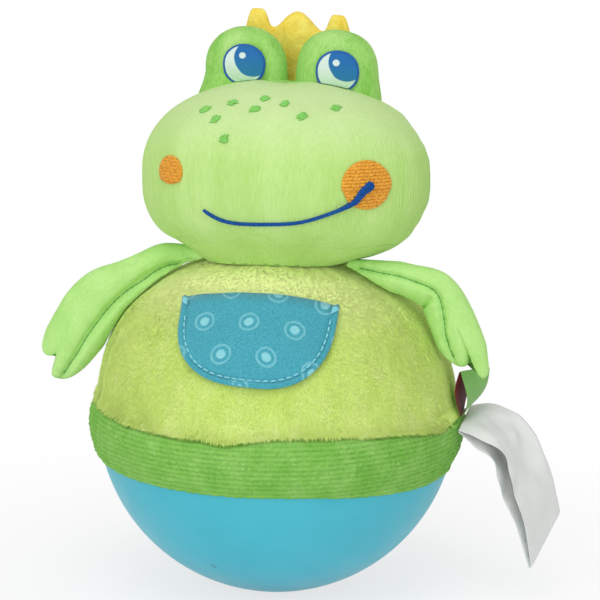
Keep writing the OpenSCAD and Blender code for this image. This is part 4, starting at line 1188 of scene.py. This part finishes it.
ribbon_look = Look("green_ribbon", Roughness=0.55, Specular_IOR_Level=0.35, Sheen_Weight=0.2)
rib = ribbon_look.waves("Y", 0.8, 0.3)
inner_side = ribbon_look.range(ribbon_look.split(ribbon_look.flat())[0], INNER_U / 2 - 1, INNER_U / 2 + 1)
ribbon_look.set("Base Color", ribbon_look.mix(
    inner_side, ribbon_look.mix(rib, srgb(116, 182, 84), srgb(142, 204, 108)),
    ribbon_look.mix(rib, srgb(112, 24, 20), srgb(150, 40, 32))))
ribbon_look.bump(rib, 0.1)

care, care_len = tape("care_label_tape", "care_label", (57.931, -3.036, 55.415), 46, (.35, .02, -.03),
                      (.54, .01, -.8), (.07, .99, .1), (.34, .73, .6), width=22, gap=4, look=tape_look,
                      slot="white_tape", wave=2.3, seed=131)
ribbon, ribbon_len = tape("ribbon_label_loop", "ribbon_label", (57.508, -3.014, 57.415), 13.5, (.16, 0, .5),
                          (.24, 0, .96), (0, -1, 0), (-.72, -.7, 0), width=11, gap=3.6, look=ribbon_look,
                          slot="green_ribbon", wave=0.12, seed=134)

# Solids that stay


def dress(look, *names):
    """Gives solids of the frame a look."""
    for name in names:
        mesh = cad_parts[name].data
        mesh.materials.clear()
        mesh.materials.append(look.material)


bowl_look = Look("bowl_plastic", Specular_IOR_Level=0.3)
broad = bowl_look.noise(30, 2)
scuff = bowl_look.noise(1.4, 4, 0.7, (1, 1, 0.3))
SCUFF_AT = (-13.5, -36.8, 15.8)
near = bowl_look.add("VectorMath", {0: bowl_look.place(), 1: SCUFF_AT}, out=1, operation="DISTANCE")
mark = bowl_look.times(bowl_look.range(near, 0.4, 1.5, 1, 0), bowl_look.range(scuff, 0.42, 0.55))
marks = bowl_look.math("MAXIMUM", bowl_look.range(scuff, 0.7, 0.78), mark)
bowl_look.set("Base Color", bowl_look.mix(bowl_look.times(marks, 0.8), bowl_look.ramp(
    broad, (0.3, srgb(68, 184, 204)), (0.7, srgb(78, 192, 212))), srgb(30, 70, 110)))
bowl_look.set("Roughness", bowl_look.range(bowl_look.noise(9, 3), 0.3, 0.7, 0.34, 0.44))
bowl_look.bump(broad, 0.08)
dress(bowl_look, "base_bowl")


def plain_look(name, dark, light, rough, metallic=0.0, size=3.0, depth=0.05):
    """Plastic, metal or cord with a faint grain."""
    look = Look(name, Metallic=metallic)
    grain = look.noise(size, 3, 0.6)
    look.set("Base Color", look.ramp(grain, (0.35, srgb(*dark)), (0.65, srgb(*light))))
    look.set("Roughness", look.range(grain, 0.3, 0.7, rough - 0.08, rough + 0.08))
    return look.bump(grain, depth)


dress(plain_look("ballast_iron", (50, 50, 54), (82, 82, 86), 0.6, 0.8, 1.5, 0.2), "ballast_weight")
dress(plain_look("screw_steel", (176, 178, 182), (206, 208, 212), 0.3, 1.0), "ballast_screws", "lid_screws",
      "striker_pin", *("chime_rod_%d" % number for number in range(1, 5)))
dress(plain_look("inner_plastic", (212, 212, 206), (226, 226, 220), 0.5), "chime_carrier", "base_lid")
dress(plain_look("striker_plastic", (226, 144, 38), (240, 158, 50), 0.45), "chime_striker")
dress(plain_look("cord_white", (220, 220, 212), (244, 244, 238), 0.9, size=0.7, depth=0.2), "hem_cord")

# Floor, backdrop and lamps

FLOOR_HALF, AMBIENT, LAMP_AIM = 3000, 0.5, Vector((0, 0, 0.09))
floor_look = Look("floor", Roughness=0.9, Specular_IOR_Level=0.1, Base_Color=srgb(250, 250, 250))
white = floor_look.add("Emission", {"Strength": 1.0})
away = floor_look.add("VectorMath", {0: floor_look.place()}, out=1, operation="LENGTH")
glow = floor_look.times(floor_look.seen(), floor_look.range(away, 40, 180, 0.72, 1.0))
blend = floor_look.add("MixShader", {0: glow, 1: floor_look.shader.outputs[0], 2: white})
floor_look.links.new(blend, floor_look.nodes["Material Output"].inputs[0])
floor = add_mesh("floor", FLOOR_HALF * np.array([[-1, -1, 0], [1, -1, 0], [1, 1, 0], [-1, 1, 0]]), [[0, 1, 2, 3]],
                 floor_look)

scene.world = bpy.data.worlds.new("studio")
sky = Look("studio", scene.world, Color=(1, 1, 1, 1))
sky.set("Strength", sky.range(sky.seen(), 0.0, 1.0, AMBIENT, 1.0))


def lamp(name, place, size, watts):
    """A round lamp that faces the toy."""
    data = bpy.data.lights.new(name, "AREA")
    data.shape = "DISK"
    data.size = size
    data.energy = watts
    obj = bpy.data.objects.new(name, data)
    obj.location = place
    obj.rotation_euler = (LAMP_AIM - Vector(place)).to_track_quat("-Z", "Y").to_euler()
    scene.collection.objects.link(obj)


lamp("key", (-0.4, -1.0, 0.4), size=1.0, watts=3.4)
lamp("fill", (0.7, -0.85, 0.28), size=1.0, watts=1.9)
lamp("top", (0.0, -0.55, 1.15), size=0.8, watts=4.0)
